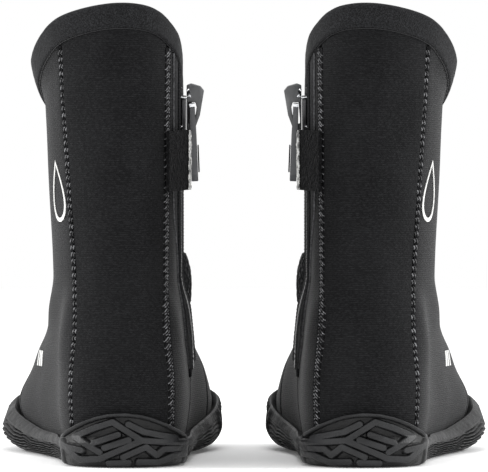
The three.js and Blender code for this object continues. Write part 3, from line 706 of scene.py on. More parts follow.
# One stitch of each seam, as strokes of (out from the back panel, up, height): shares of width and pitch
OUTER_STITCH = (((-0.34, -0.36, -0.3), (-0.2, -0.2, 0.5), (0.1, 0.16, 0.6), (0.26, 0.36, -0.3)),
                ((0.3, -0.42, -0.3), (0.5, -0.1, 0.1), (0.62, 0.24, -0.3)))
INNER_STITCH = (((-0.52, -0.5, -0.3), (-0.4, -0.38, 0.45), (0.0, 0.1, 0.55), (0.14, 0.28, -0.2)),
                ((-0.3, -0.72, -0.3), (-0.16, -0.56, 0.4), (0.26, -0.06, 0.5), (0.42, 0.14, -0.3)),
                ((0.12, 0.6, -0.3), (0.24, 0.46, 0.4), (0.52, 0.14, -0.3)))


class BOOTS_OT_seams(bpy.types.Operator):
    """Sews the zigzag seams either side of the back panel"""

    bl_idname = "boots.seams"
    bl_label = "Zigzag Seams"

    def execute(self, context):
        pitch = context.scene.boots_upper.stitch_pitch
        yarn = Finish("seam_thread", (0.02, 0.02, 0.021), 0.45, Specular_IOR_Level=0.5)
        yarn.tinted(yarn.ramp(yarn.noise(420, 3), 0.44, 0.6, 0, 1), (0.2, 0.202, 0.21))
        yarn.bump(yarn.bands(0.0007, "DIAGONAL"), 0.00015, 0.8)
        bed = Finish("seam_bed", (0.004, 0.004, 0.0043), 0.9, Specular_IOR_Level=0.1)
        bed.tinted(bed.ramp(bed.noise(900, 3), 0.45, 0.7, 0, 1), (0.02, 0.02, 0.022))
        bed.bump(bed.noise(800, 3), 0.0004, 0.8)
        for name, seam, width, stitch, radius in (("seam_lateral", lateral_seam, 2.6, OUTER_STITCH, 0.42),
                                                  ("seam_medial", medial_seam, 6.2, INNER_STITCH, 0.34)):
            top = float(collar_at(seam(np.array(235.0)))) - BINDING_DEPTH - 2.5
            turn = -1 if seam is lateral_seam else 1
            strokes = []
            for middle in np.arange(24, top, pitch):
                for stroke in stitch:
                    shape = np.array(stroke)
                    z = middle + shape[:, 1] * pitch
                    around = seam(z)
                    per_mm = 1 / np.linalg.norm(slopes_at(around, z)[0], axis=-1)
                    # every stroke rises to the boot's inner side
                    strokes.append(to_pair(off(around - shape[:, 0] * width * per_mm, z, shape[:, 2] + 0.1)))
            finished(smooth(thread(name, strokes, radius)), yarn.material, [name])

            def place(u, v):
                z = 20 + (top + 1 - 20) * v
                around = seam(z)
                per_mm = 1 / np.linalg.norm(slopes_at(around, z)[0], axis=-1)
                out = 0.12 - 0.3 * np.cos(2 * np.pi * (u * 2 - 0.5)) * np.sin(np.pi * u)
                ripple = 0.14 * np.sin(2 * np.pi * z / pitch * 2 + u * 5)
                return to_pair(off(around - turn * (u - 0.5) * width * per_mm, z, out + ripple))
            finished(smooth(sewn_round(wall(laid(name + "_bed", 10, 240, place), 0.7, 0))), bed.material, [])
        return {"FINISHED"}


def on_outer_side(y, z):
    heel, front = fair(LEVELS, HEEL, z), fair(LEVELS, FRONT, z)
    return around_of((y - heel) / (front - heel))


# The drop's middle along and up the boot, and its size, in millimetres
DROP_BACK = 43
DROP_UP = 150
DROP_WIDTH = 27
DROP_HEIGHT = 34


class BOOTS_OT_prints(bpy.types.Operator):
    """Prints the plain white marks on the outer side"""

    bl_idname = "boots.prints"
    bl_label = "White Prints"

    def execute(self, context):
        ink = Finish("white_print", (0.72, 0.72, 0.7), 0.55, Specular_IOR_Level=0.4)
        crackle = ink.noise(700, 4)
        ink.tinted(ink.ramp(crackle, 0.55, 0.7, 0, 1), (0.35, 0.35, 0.35))
        ink.bump(crackle, 0.0001, 0.5)

        def drop(u, v):
            turn = 2 * np.pi * u
            inset = v * 2.2
            neck = np.sin(turn / 2) ** 1.3
            y = DROP_BACK + (DROP_WIDTH / 2 - inset) * np.sin(turn) * neck
            z = DROP_UP + (DROP_HEIGHT / 2 - inset) * np.cos(turn)
            around = on_outer_side(y, z)
            return to_pair(off(around, z, uneven(around, z) + 0.45))

        ring = sewn_round(wall(laid("emblem", 96, 3, drop), 0.35, 0))
        finished(smooth(ring), ink.material, ["emblem"])

        bars = []
        for k, length in enumerate((1.0, 0.8, 0.6)):
            def bar(u, v, k=k, length=length):
                z = 50.5 + 9 * v
                along = 0.502 + 0.030 * k + 0.020 * u * length + 0.012 * v
                around = around_of(along)
                return to_pair(off(around, z, 0.5))
            bars.append(wall(laid(f"bar_{k}", 6, 6, bar), 0.35, 0))
        finished(smooth(joined(bars, "side_print")), ink.material, ["side_print"])
        return {"FINISHED"}


# The ankle guard, in millimetres: its lower edge, size, distance past the tape, and rise to its middle
GUARD_LOW = 87
GUARD_TALL = 29
GUARD_WIDTH = 22
GUARD_AHEAD = 2.0
GUARD_DOME = 3.2


class BOOTS_OT_guard(bpy.types.Operator):
    """Moulds the lattice pad in front of the zip"""

    bl_idname = "boots.guard"
    bl_label = "Ankle Guard"

    def execute(self, context):
        rows = np.linspace(GUARD_LOW, GUARD_LOW + GUARD_TALL, 5)
        near = beside_zip(rows, lambda base: np.full(base.shape, TAPE_REACH + GUARD_AHEAD))
        near_line = np.polyfit(rows, near, 2)

        def place(u, v):
            z = GUARD_LOW + GUARD_TALL * v
            near = np.polyval(near_line, z)
            per_mm = 1 / np.linalg.norm(slopes_at(near, z)[0], axis=-1)
            around = near - u * GUARD_WIDTH * per_mm
            a, b = u * GUARD_WIDTH / 5.6, v * GUARD_TALL / 6.4
            lines = np.maximum(np.abs((a + b) % 1 - 0.5), np.abs((a - b) % 1 - 0.5))
            ridge = np.clip(1 - (0.5 - lines) / 0.17, 0, 1)
            inset = np.minimum(np.minimum(u, 1 - u) * GUARD_WIDTH, np.minimum(v, 1 - v) * GUARD_TALL)
            rise = np.maximum(ridge, np.clip(1 - inset / 1.6, 0, 1))
            edge = np.clip(inset / 0.8, 0, 1)
            dome = np.sin(np.pi * u) * np.sin(np.pi * v)
            return to_pair(off(around, z, 0.7 + edge * (0.6 + GUARD_DOME * dome + 1.0 * rise)))

        pad = smooth(wall(laid("ankle_guard", 90, 110, place), 0.5), 50)
        look = context.scene.boots_sole
        finished(pad, rubber("guard_rubber", look.rubber_color, look.dust_and_highlight_color, 0.45), ["ankle_guard"])
        return {"FINISHED"}


# ---------------------------------------------------------------- sole


def wall_top(around):
    return fair(WALL_STATIONS, WALL_TOPS, along_of(around).ravel()).reshape(np.shape(around))


def wall_flare(around):
    flares = [fair(WALL_STATIONS, flare, along_of(around).ravel()).reshape(np.shape(around))
              for flare in (LATERAL_FLARES, MEDIAL_FLARES)]
    return np.where(around > 0, *flares)


SWELL_SHARES = np.array((0, 0.15, 0.45, 0.75, 1, 1.2))
SWELLS = [np.array((tread, low, 1, 0.6, 0, -0.4)) for tread, low in zip(TREAD_SWELLS, LOW_SWELLS)]


def wall_out(around, share):
    """How far the cup's outside stands off the upper, at a share of the wall's height."""
    round_under = -TREAD_INSET * np.clip(1 - share / 0.15, 0, 1) ** 2
    outer = np.clip(0.5 + 1.5 * np.sin(np.pi * around), 0, 1)
    swell = fair(SWELL_SHARES, SWELLS[1], share) * (1 - outer) + fair(SWELL_SHARES, SWELLS[0], share) * outer
    return SOLE_GAP + WALL + round_under + wall_flare(around) * swell


class BOOTS_OT_outsole(bpy.types.Operator):
    """Moulds the cupped sole with its ribbed side wall and tread"""

    bl_idname = "boots.outsole"
    bl_label = "Outsole"

    def execute(self, context):
        look = context.scene.boots_sole
        count, depth = look.rib_count, look.rib_depth
        arc_around = np.linspace(-1, 1, 800)
        steps = np.diff(surface(arc_around, np.full(800, 20.0)), axis=0)
        arc_length = np.concatenate([[0], np.cumsum(np.linalg.norm(steps, axis=1))])

        def place(u, v):
            around = -1 + 2 * u
            share = np.clip(1 - (v - 0.1) / 0.9, 0, 1)
            top = wall_top(around)
            down = top * (1 - share)
            points = surface(around, np.full(u.shape, 20.0))
            along = along_of(around)
            # the foxing band follows the wall's top; ribs run along the wall under it
            band = 4.6 + 0.8 * np.clip((along - 0.3) / 0.4, 0, 1)
            ribs_from = band + 0.6
            phase = (down - ribs_from) / np.maximum(top - ribs_from, 1) * count
            wander = wave_noise(points + np.stack([down, 0 * down, 0 * down], 1) * 0.6, 18, 3) * 0.3
            groove = 0.5 + 0.5 * np.cos(2 * np.pi * (phase + wander))
            ribbed = np.clip((down - ribs_from) / 0.5, 0, 1) * np.clip(share / 0.06, 0, 1)
            ribbed = ribbed * np.clip((along - 0.02) / 0.03, 0, 1)
            carve = -depth * groove ** 1.4 * ribbed
            toothed = np.clip((along - 0.66) / 0.05, 0, 1) * np.clip((0.97 - along) / 0.04, 0, 1)
            toothed = toothed * (around < 0)
            length = np.interp(around, arc_around, arc_length)
            teeth = 0.5 * np.clip(np.sin(2 * np.pi * length / 2.2) * 2.5, -1, 1)
            teeth = teeth * np.clip(down / 2, 0, 1) * np.clip(share / 0.1, 0, 1)
            carve = carve * (1 - toothed) + teeth * toothed
            foxing = 0.7 * np.clip((band - down) / 0.6, 0, 1) * np.clip((down - 0.2) / 0.8, 0, 1)
            rough = wave_noise(points + np.stack([0 * down, down, down], 1), 2.6, 9) * 0.16 * (v > 0.1)
            out = wall_out(around, share) + carve + foxing + rough * np.clip((band - down) / 0.6, 0.25, 1)
            inner = v < 0.1
            lip = SOLE_GAP + (wall_out(around, np.ones(u.shape)) - SOLE_GAP) * (v > 0.05)
            out = np.where(inner, lip, out)
            z = np.where(v < 0.05, FLOOR + (top - FLOOR) * (v / 0.05), np.where(inner, top, top * share))
            # Relief for the rubber's colour: painted shade in the grooves, painted highlight on the ribs,
            # broken up by noise
            raised = np.clip(1 + carve / depth, 0, 1) * (0.6 + 0.4 * rough / 0.16)
            return to_pair(aside(around, z, out)), np.clip(raised, 0, 1)

        cup = laid("outsole", 560, 90, place)
        sewn_round(cup, 0.000005)
        only(cup)
        bpy.ops.object.mode_set(mode="EDIT")
        bpy.ops.mesh.select_all(action="DESELECT")
        bpy.ops.mesh.select_mode(type="EDGE")
        bpy.ops.mesh.select_non_manifold(extend=False, use_wire=False, use_multi_face=False,
                                         use_non_contiguous=False, use_verts=False)
        bpy.ops.mesh.edge_face_add()
        bpy.ops.mesh.select_mode(type="VERT")
        bpy.ops.mesh.select_all(action="SELECT")
        bpy.ops.mesh.normals_make_consistent(inside=False)
        bpy.ops.object.mode_set(mode="OBJECT")
        sole = smooth(cup, 45)
        finished(sole, rubber("sole_rubber", look.rubber_color, look.dust_and_highlight_color, 0.5), ["outsole"])
        return {"FINISHED"}


COUNTER_HALF = 34
COUNTER_PEAK = 29
COUNTER_CORNER = 16

# Bars of the heel counter's relief: ends as (share of the half-width, height in millimetres)
COUNTER_BARS = (
    (-0.97, 13.0, -0.66, 4.0), (-0.66, 4.0, -0.34, 4.6), (-0.34, 4.6, 0.30, 14.6), (0.30, 14.6, 0.93, 12.6),
    (-0.74, 16.5, -0.34, 8.2), (-0.74, 16.5, -0.42, 21.4), (-0.42, 21.4, -0.14, 24.6),
    (-0.14, 24.6, 0.30, 14.6),
    (-0.42, 13.4, -0.06, 17.8), (-0.26, 10.6, 0.10, 15.0), (-0.90, 10.6, -0.62, 9.0),
    (0.02, 5.6, 0.36, 11.0), (0.36, 11.0, 0.52, 6.4), (0.52, 6.4, 0.62, 9.6), (0.62, 9.6, 0.95, 9.6),
    (0.26, 3.0, 0.56, 2.6), (0.56, 2.6, 0.80, 6.2), (0.80, 6.2, 0.97, 6.4),
    (0.10, 23.4, 0.34, 19.2), (0.34, 19.2, 0.80, 15.6), (-0.2, 2.2, 0.1, 2.6),
)


def counter_relief(x_share, z):
    """Height of the raised bars at a point on the heel counter, 0 to 1."""
    x = -x_share * COUNTER_HALF
    nearest = np.full(x.shape, 99.0)
    for x0, z0, x1, z1 in COUNTER_BARS:
        a = np.array([x0 * COUNTER_HALF, z0])
        d = np.array([x1 * COUNTER_HALF, z1]) - a
        t = np.clip(((x - a[0]) * d[0] + (z - a[1]) * d[1]) / (d @ d), 0, 1)
        nearest = np.minimum(nearest, np.hypot(x - a[0] - t * d[0], z - a[1] - t * d[1]))
    return np.clip((2.3 - nearest) / 0.8, 0, 1)


class BOOTS_OT_counter(bpy.types.Operator):
    """Moulds the arched heel counter with its raised bars"""

    bl_idname = "boots.counter"
    bl_label = "Heel Counter"

    def execute(self, context):
        look = context.scene.boots_sole
        ends = [float(around_at_width(s, COUNTER_HALF - SOLE_GAP - WALL, np.array(float(COUNTER_CORNER))))
                for s in (-1, 1)]

        def place(u, v):
            root = np.sign(ends[0]) * abs(ends[0]) ** 0.5 * (1 - u) + abs(ends[1]) ** 0.5 * u
            around = root * np.abs(root)
            width = surface(around, np.full(u.shape, 16.0))[:, 0] / (COUNTER_HALF - SOLE_GAP - WALL)
            top = COUNTER_CORNER + (COUNTER_PEAK - COUNTER_CORNER) * (1 - np.clip(width, -1, 1) ** 2)
            z = 0.6 + (top - 0.6) * v
            relief = counter_relief(width, z)
            to_edge = np.minimum((top - z) / 1.8, (1 - np.abs(width)) * COUNTER_HALF / 1.8)
            rim = np.clip(1 - to_edge, 0, 1) ** 0.5
            rise = np.maximum(relief, rim)
            lip = np.clip((z - 13) / 4, 0, 1)
            back = SOLE_GAP + (WALL + 0.5) * (1 - lip * 0.75) + wall_flare(around) * (1 - lip)
            under = 1.6 * np.clip(1 - z / 3.5, 0, 1) ** 2
            side = 1.2 * np.clip((np.abs(width) - 0.93) / 0.07, 0, 1) ** 2
            out = back + 0.75 + 2.0 * rise - under - side + 0.12 * wave_noise(surface(around, z), 5, 21)
            # Relief for the rubber's colour: painted highlight on the bars and rim, painted shade in the
            # recesses and on the roll-under at the bottom
            return to_pair(aside(around, z, out)), np.clip(rise - 0.25 * under, 0, 1)

        shell = laid("heel_counter", 300, 130, place)
        shell = smooth(wall(shell, 0.7), 50)
        finished(shell, rubber("counter_rubber", look.rubber_color, look.dust_and_highlight_color, 0.42), ["heel_counter"])
        return {"FINISHED"}


# Way round at which the toe cap starts, and its top at the toe in millimetres
CAP_START = 0.8
CAP_PEAK = 50


class BOOTS_OT_toe_cap(bpy.types.Operator):
    """Moulds the ribbed bumper over the toes"""

    bl_idname = "boots.toe_cap"
    bl_label = "Toe Cap"

    def execute(self, context):
        look = context.scene.boots_sole

        def place(u, v):
            around = CAP_START + 0.4 * u
            along = along_of(np.where(around > 1, 2 - around, around))
            start = float(along_of(CAP_START))
            foot = wall_top(np.where(around > 1, 2 - around, around))
            peak = foot + 3 + (CAP_PEAK - foot - 3) * (along - start) / (1 - start)
            z = foot + 0.8 + (peak - foot - 0.8) * v
            ribs = 0.5 + 0.5 * np.cos(2 * np.pi * (z - foot) / 3.4)
            edge = np.clip(np.minimum(v, 1 - v) * (peak - foot) / 1.2, 0, 1)
            return to_pair(off(around, z, SOLE_GAP + 0.5 + edge * (0.9 + 0.8 * ribs)))

        cap = smooth(wall(laid("toe_cap", 120, 40, place), 0.4), 50)
        finished(cap, rubber("toe_rubber", look.rubber_color, look.dust_and_highlight_color, 0.45), ["toe_cap"])
        return {"FINISHED"}


class BOOTS_OT_inside(bpy.types.Operator):
    """Fits the board and the removable footbed"""

    bl_idname = "boots.inside"
    bl_label = "Footbed"

    def execute(self, context):
        cover = Finish("footbed_cover", (0.03, 0.031, 0.034), 0.9, Sheen_Weight=0.3, Specular_IOR_Level=0.2)
        cover.tinted(cover.ramp(cover.noise(300, 4), 0.4, 0.7, 0, 1), (0.06, 0.061, 0.066))
        cover.bump(cover.cells(700), 0.0003, 0.7)

        def place(u, v):
            around = v
            z = np.full(u.shape, 14.0)
            left = aside(-around, z, np.full(u.shape, -7.0))
            right = aside(around, z, np.full(u.shape, -7.0))
            points = left * (1 - u[:, None]) + right * u[:, None]
            cup = 1 - (1 - (2 * u - 1) ** 2) * 0.5
            points[:, 2] = 15.2 + 1.0 * cup * np.clip((0.6 - v) / 0.4, 0, 1) + 0.9 * np.exp(
                -((v - 0.45) / 0.12) ** 2) * (1 - u)
            return to_pair(points)

        bed = laid("insole", 30, 80, place)
        bed = wall(bed, 3.2)
        bed = smooth(sewn_round(bed), 50)
        pair = finished(bed, cover.material, ["insole"])
        foam = Finish("board_foam", (0.06, 0.062, 0.067), 0.9)
        foam.bump(foam.cells(400), 0.0004, 0.8)
        foam.tinted(foam.ramp(foam.noise(200, 3), 0.4, 0.7, 0, 1), (0.03, 0.031, 0.033))
        for side in ("left", "right"):
            node = frame["nodes"][f"{side}_midsole"]
            node.data.materials.clear()
            node.data.materials.append(foam.material)
        return {"FINISHED"}


# ---------------------------------------------------------------- fastening


def zip_top_at(distance, margin):
    z = np.full(np.shape(distance), float(RULED_FROM))
    for _ in range(8):
        around, height = across(z, distance)
        z = z + collar_at(around) - margin - height
    return z


def rear_reach(z):
    share = np.clip((z - TAPE_WIDENS[0]) / (TAPE_WIDENS[1] - TAPE_WIDENS[0]), 0, 1)
    return -TAPE_REACH - TAPE_WIDER * share * share * (3 - 2 * share)


def zip_strip(name, columns, rows, start, end, out, thickness):
    """A strip that follows the zip; start and end give its edges' distances at a height."""
    def place(u, v):
        z = np.full(u.shape, 150.0)
        for _ in range(4):
            distance = start(z) + (end(z) - start(z)) * u
            z = ZIP_BOTTOM + (zip_top_at(distance, BINDING_DEPTH + 0.8) - ZIP_BOTTOM) * v
        around, height = across(z, distance)
        return to_pair(off(around, height, out(u, v)))

    return smooth(sewn_round(wall(laid(name, columns, rows, place), thickness)), 40)


def constant(value):
    return lambda z: np.full(np.shape(z), float(value))


class BOOTS_OT_zip(bpy.types.Operator):
    """Sews in the zip: gusset, tapes, teeth and stops"""

    bl_idname = "boots.zip"
    bl_label = "Zip"

    def execute(self, context):
        tape = woven("zip_tape", (0.006, 0.006, 0.007), (0.03, 0.031, 0.033))
        chain = plastic("zip_chain", (0.01, 0.01, 0.011), (0.04, 0.041, 0.043), 0.3)
        gusset = zip_strip("zip_gusset", 14, 60, constant(-TAPE_REACH), constant(TAPE_REACH),
                           lambda u, v: np.full(u.shape, -NEOPRENE - 0.8), 1.2)
        finished(gusset, tape, ["zip_gusset"])
        for name, start, end in (("zip_tape_rear", constant(-CHAIN_HALF - 0.6), rear_reach),
                                 ("zip_tape_front", constant(CHAIN_HALF + 0.6), constant(TAPE_REACH))):
            def out(u, v):
                hem = 0.35 * np.exp(-((u - 0.86) / 0.05) ** 2)
                return LAID + 0.7 + 0.1 * np.sin(u * 60) + hem + 0.12 * np.sin(v * 500 + u * 9)
            finished(zip_strip(name, 30, 200, start, end, out, 0.8), tape, [name])
        def flap_reach(z):
            share = np.clip((z - 104) / 42, 0, 1)
            return -TAPE_REACH - 0.4 - FLAP_WIDER * share * share * (3 - 2 * share)

        def flap_out(u, v):
            return 0.5 + 0.3 * np.exp(-((u - 0.85) / 0.05) ** 2) + 0.1 * np.sin(v * 420)
        flap = zip_strip("zip_flap", 30, 200, constant(-TAPE_REACH - 0.2), flap_reach, flap_out, 0.4)
        finished(flap, tape, [])
        flap_top = float(zip_top_at(np.array([-TAPE_REACH - FLAP_WIDER]), BINDING_DEPTH + 0.6)[0])
        z = np.linspace(60, flap_top, 160)
        around, height = across(z, flap_reach(z) - 0.25)
        # A cord along the flap's raised rear edge: its light grey colour is a painted highlight of that edge
        edge_highlight = Finish("cut_edge_highlight", (0.1, 0.101, 0.105), 0.8, Specular_IOR_Level=0.3)
        edge_highlight.tinted(edge_highlight.ramp(edge_highlight.noise(700, 4), 0.4, 0.65, 0, 1), (0.03, 0.03, 0.032))
        edge_highlight.bump(edge_highlight.noise(900, 3), 0.0003, 0.8)
        line = to_pair(off(around, height, np.full(z.shape, 0.55)))
        finished(smooth(thread("tape_edge_highlight", [line], 0.5)), edge_highlight.material, [])

        pitch = context.scene.boots_fastening.tooth_pitch
        low, high = ZIP_BOTTOM + 4.5, float(zip_top_at(np.array([CHAIN_HALF]), BINDING_DEPTH + 0.8)[0]) - 4.5
        bpy.ops.object.select_all(action="DESELECT")
        bpy.ops.mesh.primitive_cube_add(size=1)
        tooth = bpy.context.object
        tooth.scale = (3.3 * MM, 1.35 * MM, 3.0 * MM)
        bpy.ops.object.transform_apply(location=False, rotation=False, scale=True)
        rounded(tooth, 0.3, 2)
        shape = np.zeros(len(tooth.data.vertices) * 3, np.float32)
        tooth.data.vertices.foreach_get("co", shape)
        shape = shape.reshape(-1, 3).astype(float) / MM
        for name, direction in (("zip_teeth_rear", -1), ("zip_teeth_front", 1)):
            heights = np.arange(low + (pitch / 2 if direction > 0 else 0), high, pitch)
            copies = []
            for z in heights:
                copy = bpy.data.objects.new("tooth", tooth.data.copy())
                bpy.context.collection.objects.link(copy)
                side = direction * 1.35 + shape[:, 0]
                around, height = across(np.full(len(shape), z) + shape[:, 1], side)
                put(copy, to_pair(off(around, height, 0.5 + shape[:, 2])))
                copies.append(copy)
            cord_z = np.linspace(low - 1, high + 1, 120)
            around, height = across(cord_z, np.full(cord_z.shape, direction * 3.0))
            copies.insert(0, thread("bead", [to_pair(off(around, height, np.full(cord_z.shape, 0.6)))], 1.0))
            row = joined(copies, name)
            finished(sewn_round(smooth(row, 40), 0.0000005), chain, [name])
        bpy.data.objects.remove(tooth)

        for stop in ("zip_top_stop_rear", "zip_top_stop_front", "zip_bottom_stop"):
            finished(refined(f"right_{stop}", stop, 0.5), chain, [stop])
        return {"FINISHED"}


class BOOTS_OT_slider(bpy.types.Operator):
    """Makes the slider, its crown and the pull"""

    bl_idname = "boots.slider"
    bl_label = "Slider and Pull"

    def execute(self, context):
        look = context.scene.boots_fastening
        metal = plastic("slider_metal", (0.02, 0.02, 0.022), (0.09, 0.09, 0.095), 0.28)
        grey = plastic("crown_plastic", look.crown_color, (0.2, 0.203, 0.21), 0.38)
        slab = plastic("pull_rubber", look.pull_color, (0.14, 0.142, 0.15), 0.45)
        for name, bevel, material, body, slot in (("slider_body", 0.45, metal, "slider", "slider"),
                                                  ("slider_bridge", 0.7, grey, "slider", "crown"),
                                                  ("pull_tab", 0.6, slab, "pull", "pull")):
            finished(refined(f"right_{name}", name, bevel), material, [name], body)
        finished(self.spring(), self.chrome(), [], "slider")
        hooks = fuzzy("pull_hooks", (0.006, 0.006, 0.007), (0.04, 0.04, 0.042))
        finished(refined("right_pull_pad", "pull_pad", 0.25), hooks, ["pull_pad"], "pull")
        return {"FINISHED"}

    def chrome(self):
        steel = Finish("spring_steel", (0.75, 0.76, 0.78), 0.22, Metallic=1.0)
        steel.rough(steel.ramp(steel.noise(500, 3), 0.35, 0.7, 0.12, 0.35))
        steel.bump(steel.noise(900, 2), 0.00005, 0.4)
        return steel.material

    def spring(self):
        """The locking spring and the pull's pin, seen from behind the crown."""
        at = surface(np.array(ZIP_AROUND), np.array(SLIDER_MIDDLE))
        side = np.cross(_up, _out)

        def local(points):
            x, y, z = np.array(points, float).T
            return to_pair(at + x[:, None] * side + y[:, None] * _up + z[:, None] * _out)

        turns = np.linspace(0, 1, 12)
        leaf = [(3.4, 13.2 - 4.4 * t + 1.2 * np.sin(t * 9), 4.6 + 1.4 * t + 0.5 * np.sin(t * 7))
                for t in turns]
        brace = [(6.2, 9.6 - 0.5 * t, 1.2 + 3.2 * t) for t in turns]
        pin = [(6.5, 5.1 + 0.3 * t, 5.9 + 3.2 * t) for t in turns]
        foot = [(6.4, -6.6 + 0.5 * t, 0.9 + 1.3 * t) for t in turns]
        pieces = [thread("leaf", [local(leaf)], 0.7), thread("brace", [local(brace)], 0.5),
                  thread("pin", [local(pin)], 1.0), thread("foot", [local(foot)], 0.6)]
        return smooth(joined(pieces, "slider_spring"), 40)


KEEPER_MIDDLE = 166.0
KEEPER_ROOT = 22.2
KEEPER_OUT = 2.4
KEEPER_LIFT = 3
KEEPER_LENGTH = 24.6
KEEPER_HEIGHT = 33


class BOOTS_OT_keeper(bpy.types.Operator):
    """Makes the hook-and-loop keeper tab with its frayed edge"""

    bl_idname = "boots.keeper"
    bl_label = "Keeper Tab"

    def execute(self, context):
        root = around_at_width(-1, KEEPER_ROOT, np.array(KEEPER_MIDDLE))
        up = slopes_at(root, np.array(KEEPER_MIDDLE))[1]
        up /= np.linalg.norm(up)
        normal = normal_at(root, np.array(KEEPER_MIDDLE))
        lift = math.radians(KEEPER_LIFT)
        side = np.cross(up, normal)
        forward = math.sin(lift) * normal - math.cos(lift) * side
        out = math.sin(lift) * side + math.cos(lift) * normal
        basis = np.array([forward, up, out])
        origin = to_pair(surface(root, np.array(KEEPER_MIDDLE)) + KEEPER_OUT * normal)

        def place(u, v):
            along = u * KEEPER_LENGTH
            height = (v - 0.5) * KEEPER_HEIGHT
            frayed = 0.35 * np.sin(v * 71) + 0.25 * np.sin(v * 173 + 1)
            along = along + frayed * np.clip((u - 0.9) / 0.1, 0, 1)
            bow = 0.5 * np.sin(np.pi * u) + 0.25 * np.sin(v * 9) * u
            lint = 0.18 * wave_noise(np.stack([along, height, bow], 1), 3.5, 31)
            points = np.stack([along, height, 1.0 + bow * 0.3 + lint], 1) * MM
            return points @ basis + origin

        loops = fuzzy("keeper_loops", (0.005, 0.005, 0.0055), (0.035, 0.035, 0.038))
        tab = laid("keeper_tab", 60, 70, place)
        if tab.data.polygons[0].normal.dot(Vector(out)) < 0:
            tab.data.flip_normals()
        tab = smooth(rounded(wall(tab, 2.0), 0.3, 2, 60), 50)
        finished(tab, loops, ["keeper_tab"], "keeper")

        draw = np.random.default_rng(4)
        lines = []
        for _ in range(190):
            length = draw.uniform(2.5, 8)
            rise = np.linspace(0, 1, 7)
            along = draw.uniform(20.2, 24.6) + 0.5 * np.sin(rise * draw.uniform(3, 9) + draw.uniform(0, 6))
            height = np.clip(draw.uniform(-16, 14) + (rise - 0.5) * length, -16.3, 16.3)
            lift = 1.15 + 0.7 * np.sin(np.pi * rise) * draw.uniform(0.4, 1) - 0.3 * (along - 23)
            lines.append(np.stack([along, height, lift], 1) * MM @ basis + origin)
        for _ in range(70):
            height = draw.uniform(-16, 15)
            start = np.array([24.0, height, draw.uniform(-0.8, 1.0)])
            bend = np.array([draw.uniform(0.3, 1.2), draw.uniform(-1.2, 1.2), draw.uniform(-0.3, 0.8)])
            line = [start, start + bend * 0.5 + draw.normal(size=3) * 0.15, start + bend * [0.8, 1, 0.9]]
            lines.append(np.array(line) * MM @ basis + origin)
        # The frayed threads are real geometry, but their near-white colour is a painted glint along the black
        # tab's edge
        fray_glint = Finish("frayed_nylon_glint", (0.75, 0.75, 0.73), 0.45, Specular_IOR_Level=0.5)
        fray_glint.tinted(fray_glint.ramp(fray_glint.noise(420, 3), 0.42, 0.62, 0, 1), (0.12, 0.12, 0.12))
        finished(smooth(thread("keeper_fray_glint", lines, 0.2)), fray_glint.material, [], "keeper")

        patch = refined("right_keeper_base", "keeper_base", 0.2)
        finished(patch, loops, ["keeper_base"])
        return {"FINISHED"}


# ---------------------------------------------------------------- stage


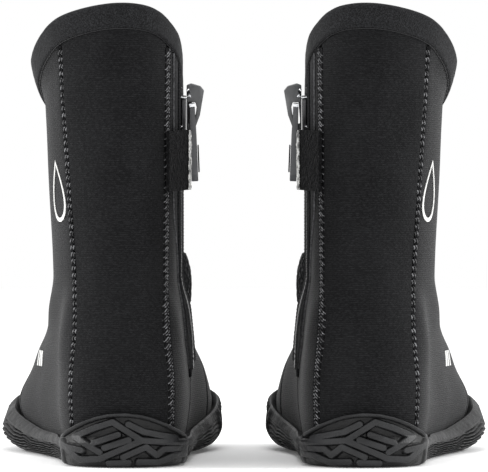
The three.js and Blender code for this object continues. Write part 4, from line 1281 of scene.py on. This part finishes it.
class BOOTS_OT_stage(bpy.types.Operator):
    """Sets the pale floor, the soft lights and the camera"""

    bl_idname = "boots.stage"
    bl_label = "Stage"

    def execute(self, context):
        bpy.ops.object.select_all(action="DESELECT")
        bpy.ops.mesh.primitive_plane_add(size=12, location=(0, 1.5, -0.0004))
        floor = context.object
        floor.name = "floor"
        paper = Finish("paper_floor", (1, 1, 1), 0.8, Emission_Strength=0.07)
        paper.shader.inputs["Emission Color"].default_value = (1, 1, 1, 1)
        paper.bump(paper.noise(300, 2), 0.00002, 0.2)
        floor.data.materials.append(paper.material)

        world = context.scene.world or bpy.data.worlds.new("studio")
        context.scene.world = world
        world.use_nodes = True
        world.node_tree.nodes["Background"].inputs["Color"].default_value = (1, 1, 1, 1)
        world.node_tree.nodes["Background"].inputs["Strength"].default_value = 1.0

        target = Vector((0, 0, 0.12))
        for name, place, size, power in (
                ("key_left", (-1.7, 0.1, 0.8), 1.0, 22), ("key_right", (1.7, 0.1, 0.8), 1.0, 22),
                ("top_soft", (0, -0.3, 2.0), 1.2, 8)):
            light = bpy.data.lights.new(name, "AREA")
            light.size = size
            light.energy = power
            lamp = bpy.data.objects.new(name, light)
            lamp.location = place
            lamp.rotation_euler = (target - Vector(place)).to_track_quat("-Z", "Y").to_euler()
            context.collection.objects.link(lamp)

        data = bpy.data.cameras.new("camera")
        camera = bpy.data.objects.new("camera", data)
        context.collection.objects.link(camera)
        reach = 2.3
        camera.location = (0, -0.14 - reach, 0.1252)
        camera.rotation_euler = (math.radians(90), 0, 0)
        data.sensor_width = 36
        data.lens = 36 * reach / 0.2640
        data.clip_end = 50
        context.scene.camera = camera
        context.scene.view_settings.view_transform = "Standard"
        return {"FINISHED"}


class BOOTS_PT_panel(bpy.types.Panel):
    """Lists the boots' pieces in the sidebar"""

    bl_idname = "BOOTS_PT_panel"
    bl_label = "Neoprene Boots"
    bl_space_type = "VIEW_3D"
    bl_region_type = "UI"
    bl_category = "Boots"

    def draw(self, context):
        scene = context.scene
        for group in (scene.boots_upper, scene.boots_sole, scene.boots_fastening):
            for prop in type(group).__annotations__:
                self.layout.prop(group, prop)
        for operator in OPERATORS:
            self.layout.operator(operator.bl_idname)


GROUPS = {"boots_upper": BOOTS_PG_upper, "boots_sole": BOOTS_PG_sole, "boots_fastening": BOOTS_PG_fastening}
OPERATORS = (BOOTS_OT_upper, BOOTS_OT_collar, BOOTS_OT_seams, BOOTS_OT_prints, BOOTS_OT_guard,
             BOOTS_OT_outsole, BOOTS_OT_counter, BOOTS_OT_toe_cap, BOOTS_OT_inside, BOOTS_OT_zip,
             BOOTS_OT_slider, BOOTS_OT_keeper, BOOTS_OT_stage)


def register():
    for cls in (*GROUPS.values(), *OPERATORS, BOOTS_PT_panel):
        bpy.utils.register_class(cls)
    for name, group in GROUPS.items():
        setattr(bpy.types.Scene, name, bpy.props.PointerProperty(type=group))


def unregister():
    for name in GROUPS:
        delattr(bpy.types.Scene, name)
    for cls in reversed((*GROUPS.values(), *OPERATORS, BOOTS_PT_panel)):
        bpy.utils.unregister_class(cls)


def main():
    register()
    for operator in OPERATORS:
        category, name = operator.bl_idname.split(".")
        getattr(getattr(bpy.ops, category), name)()


if __name__ == "__main__":
    main()
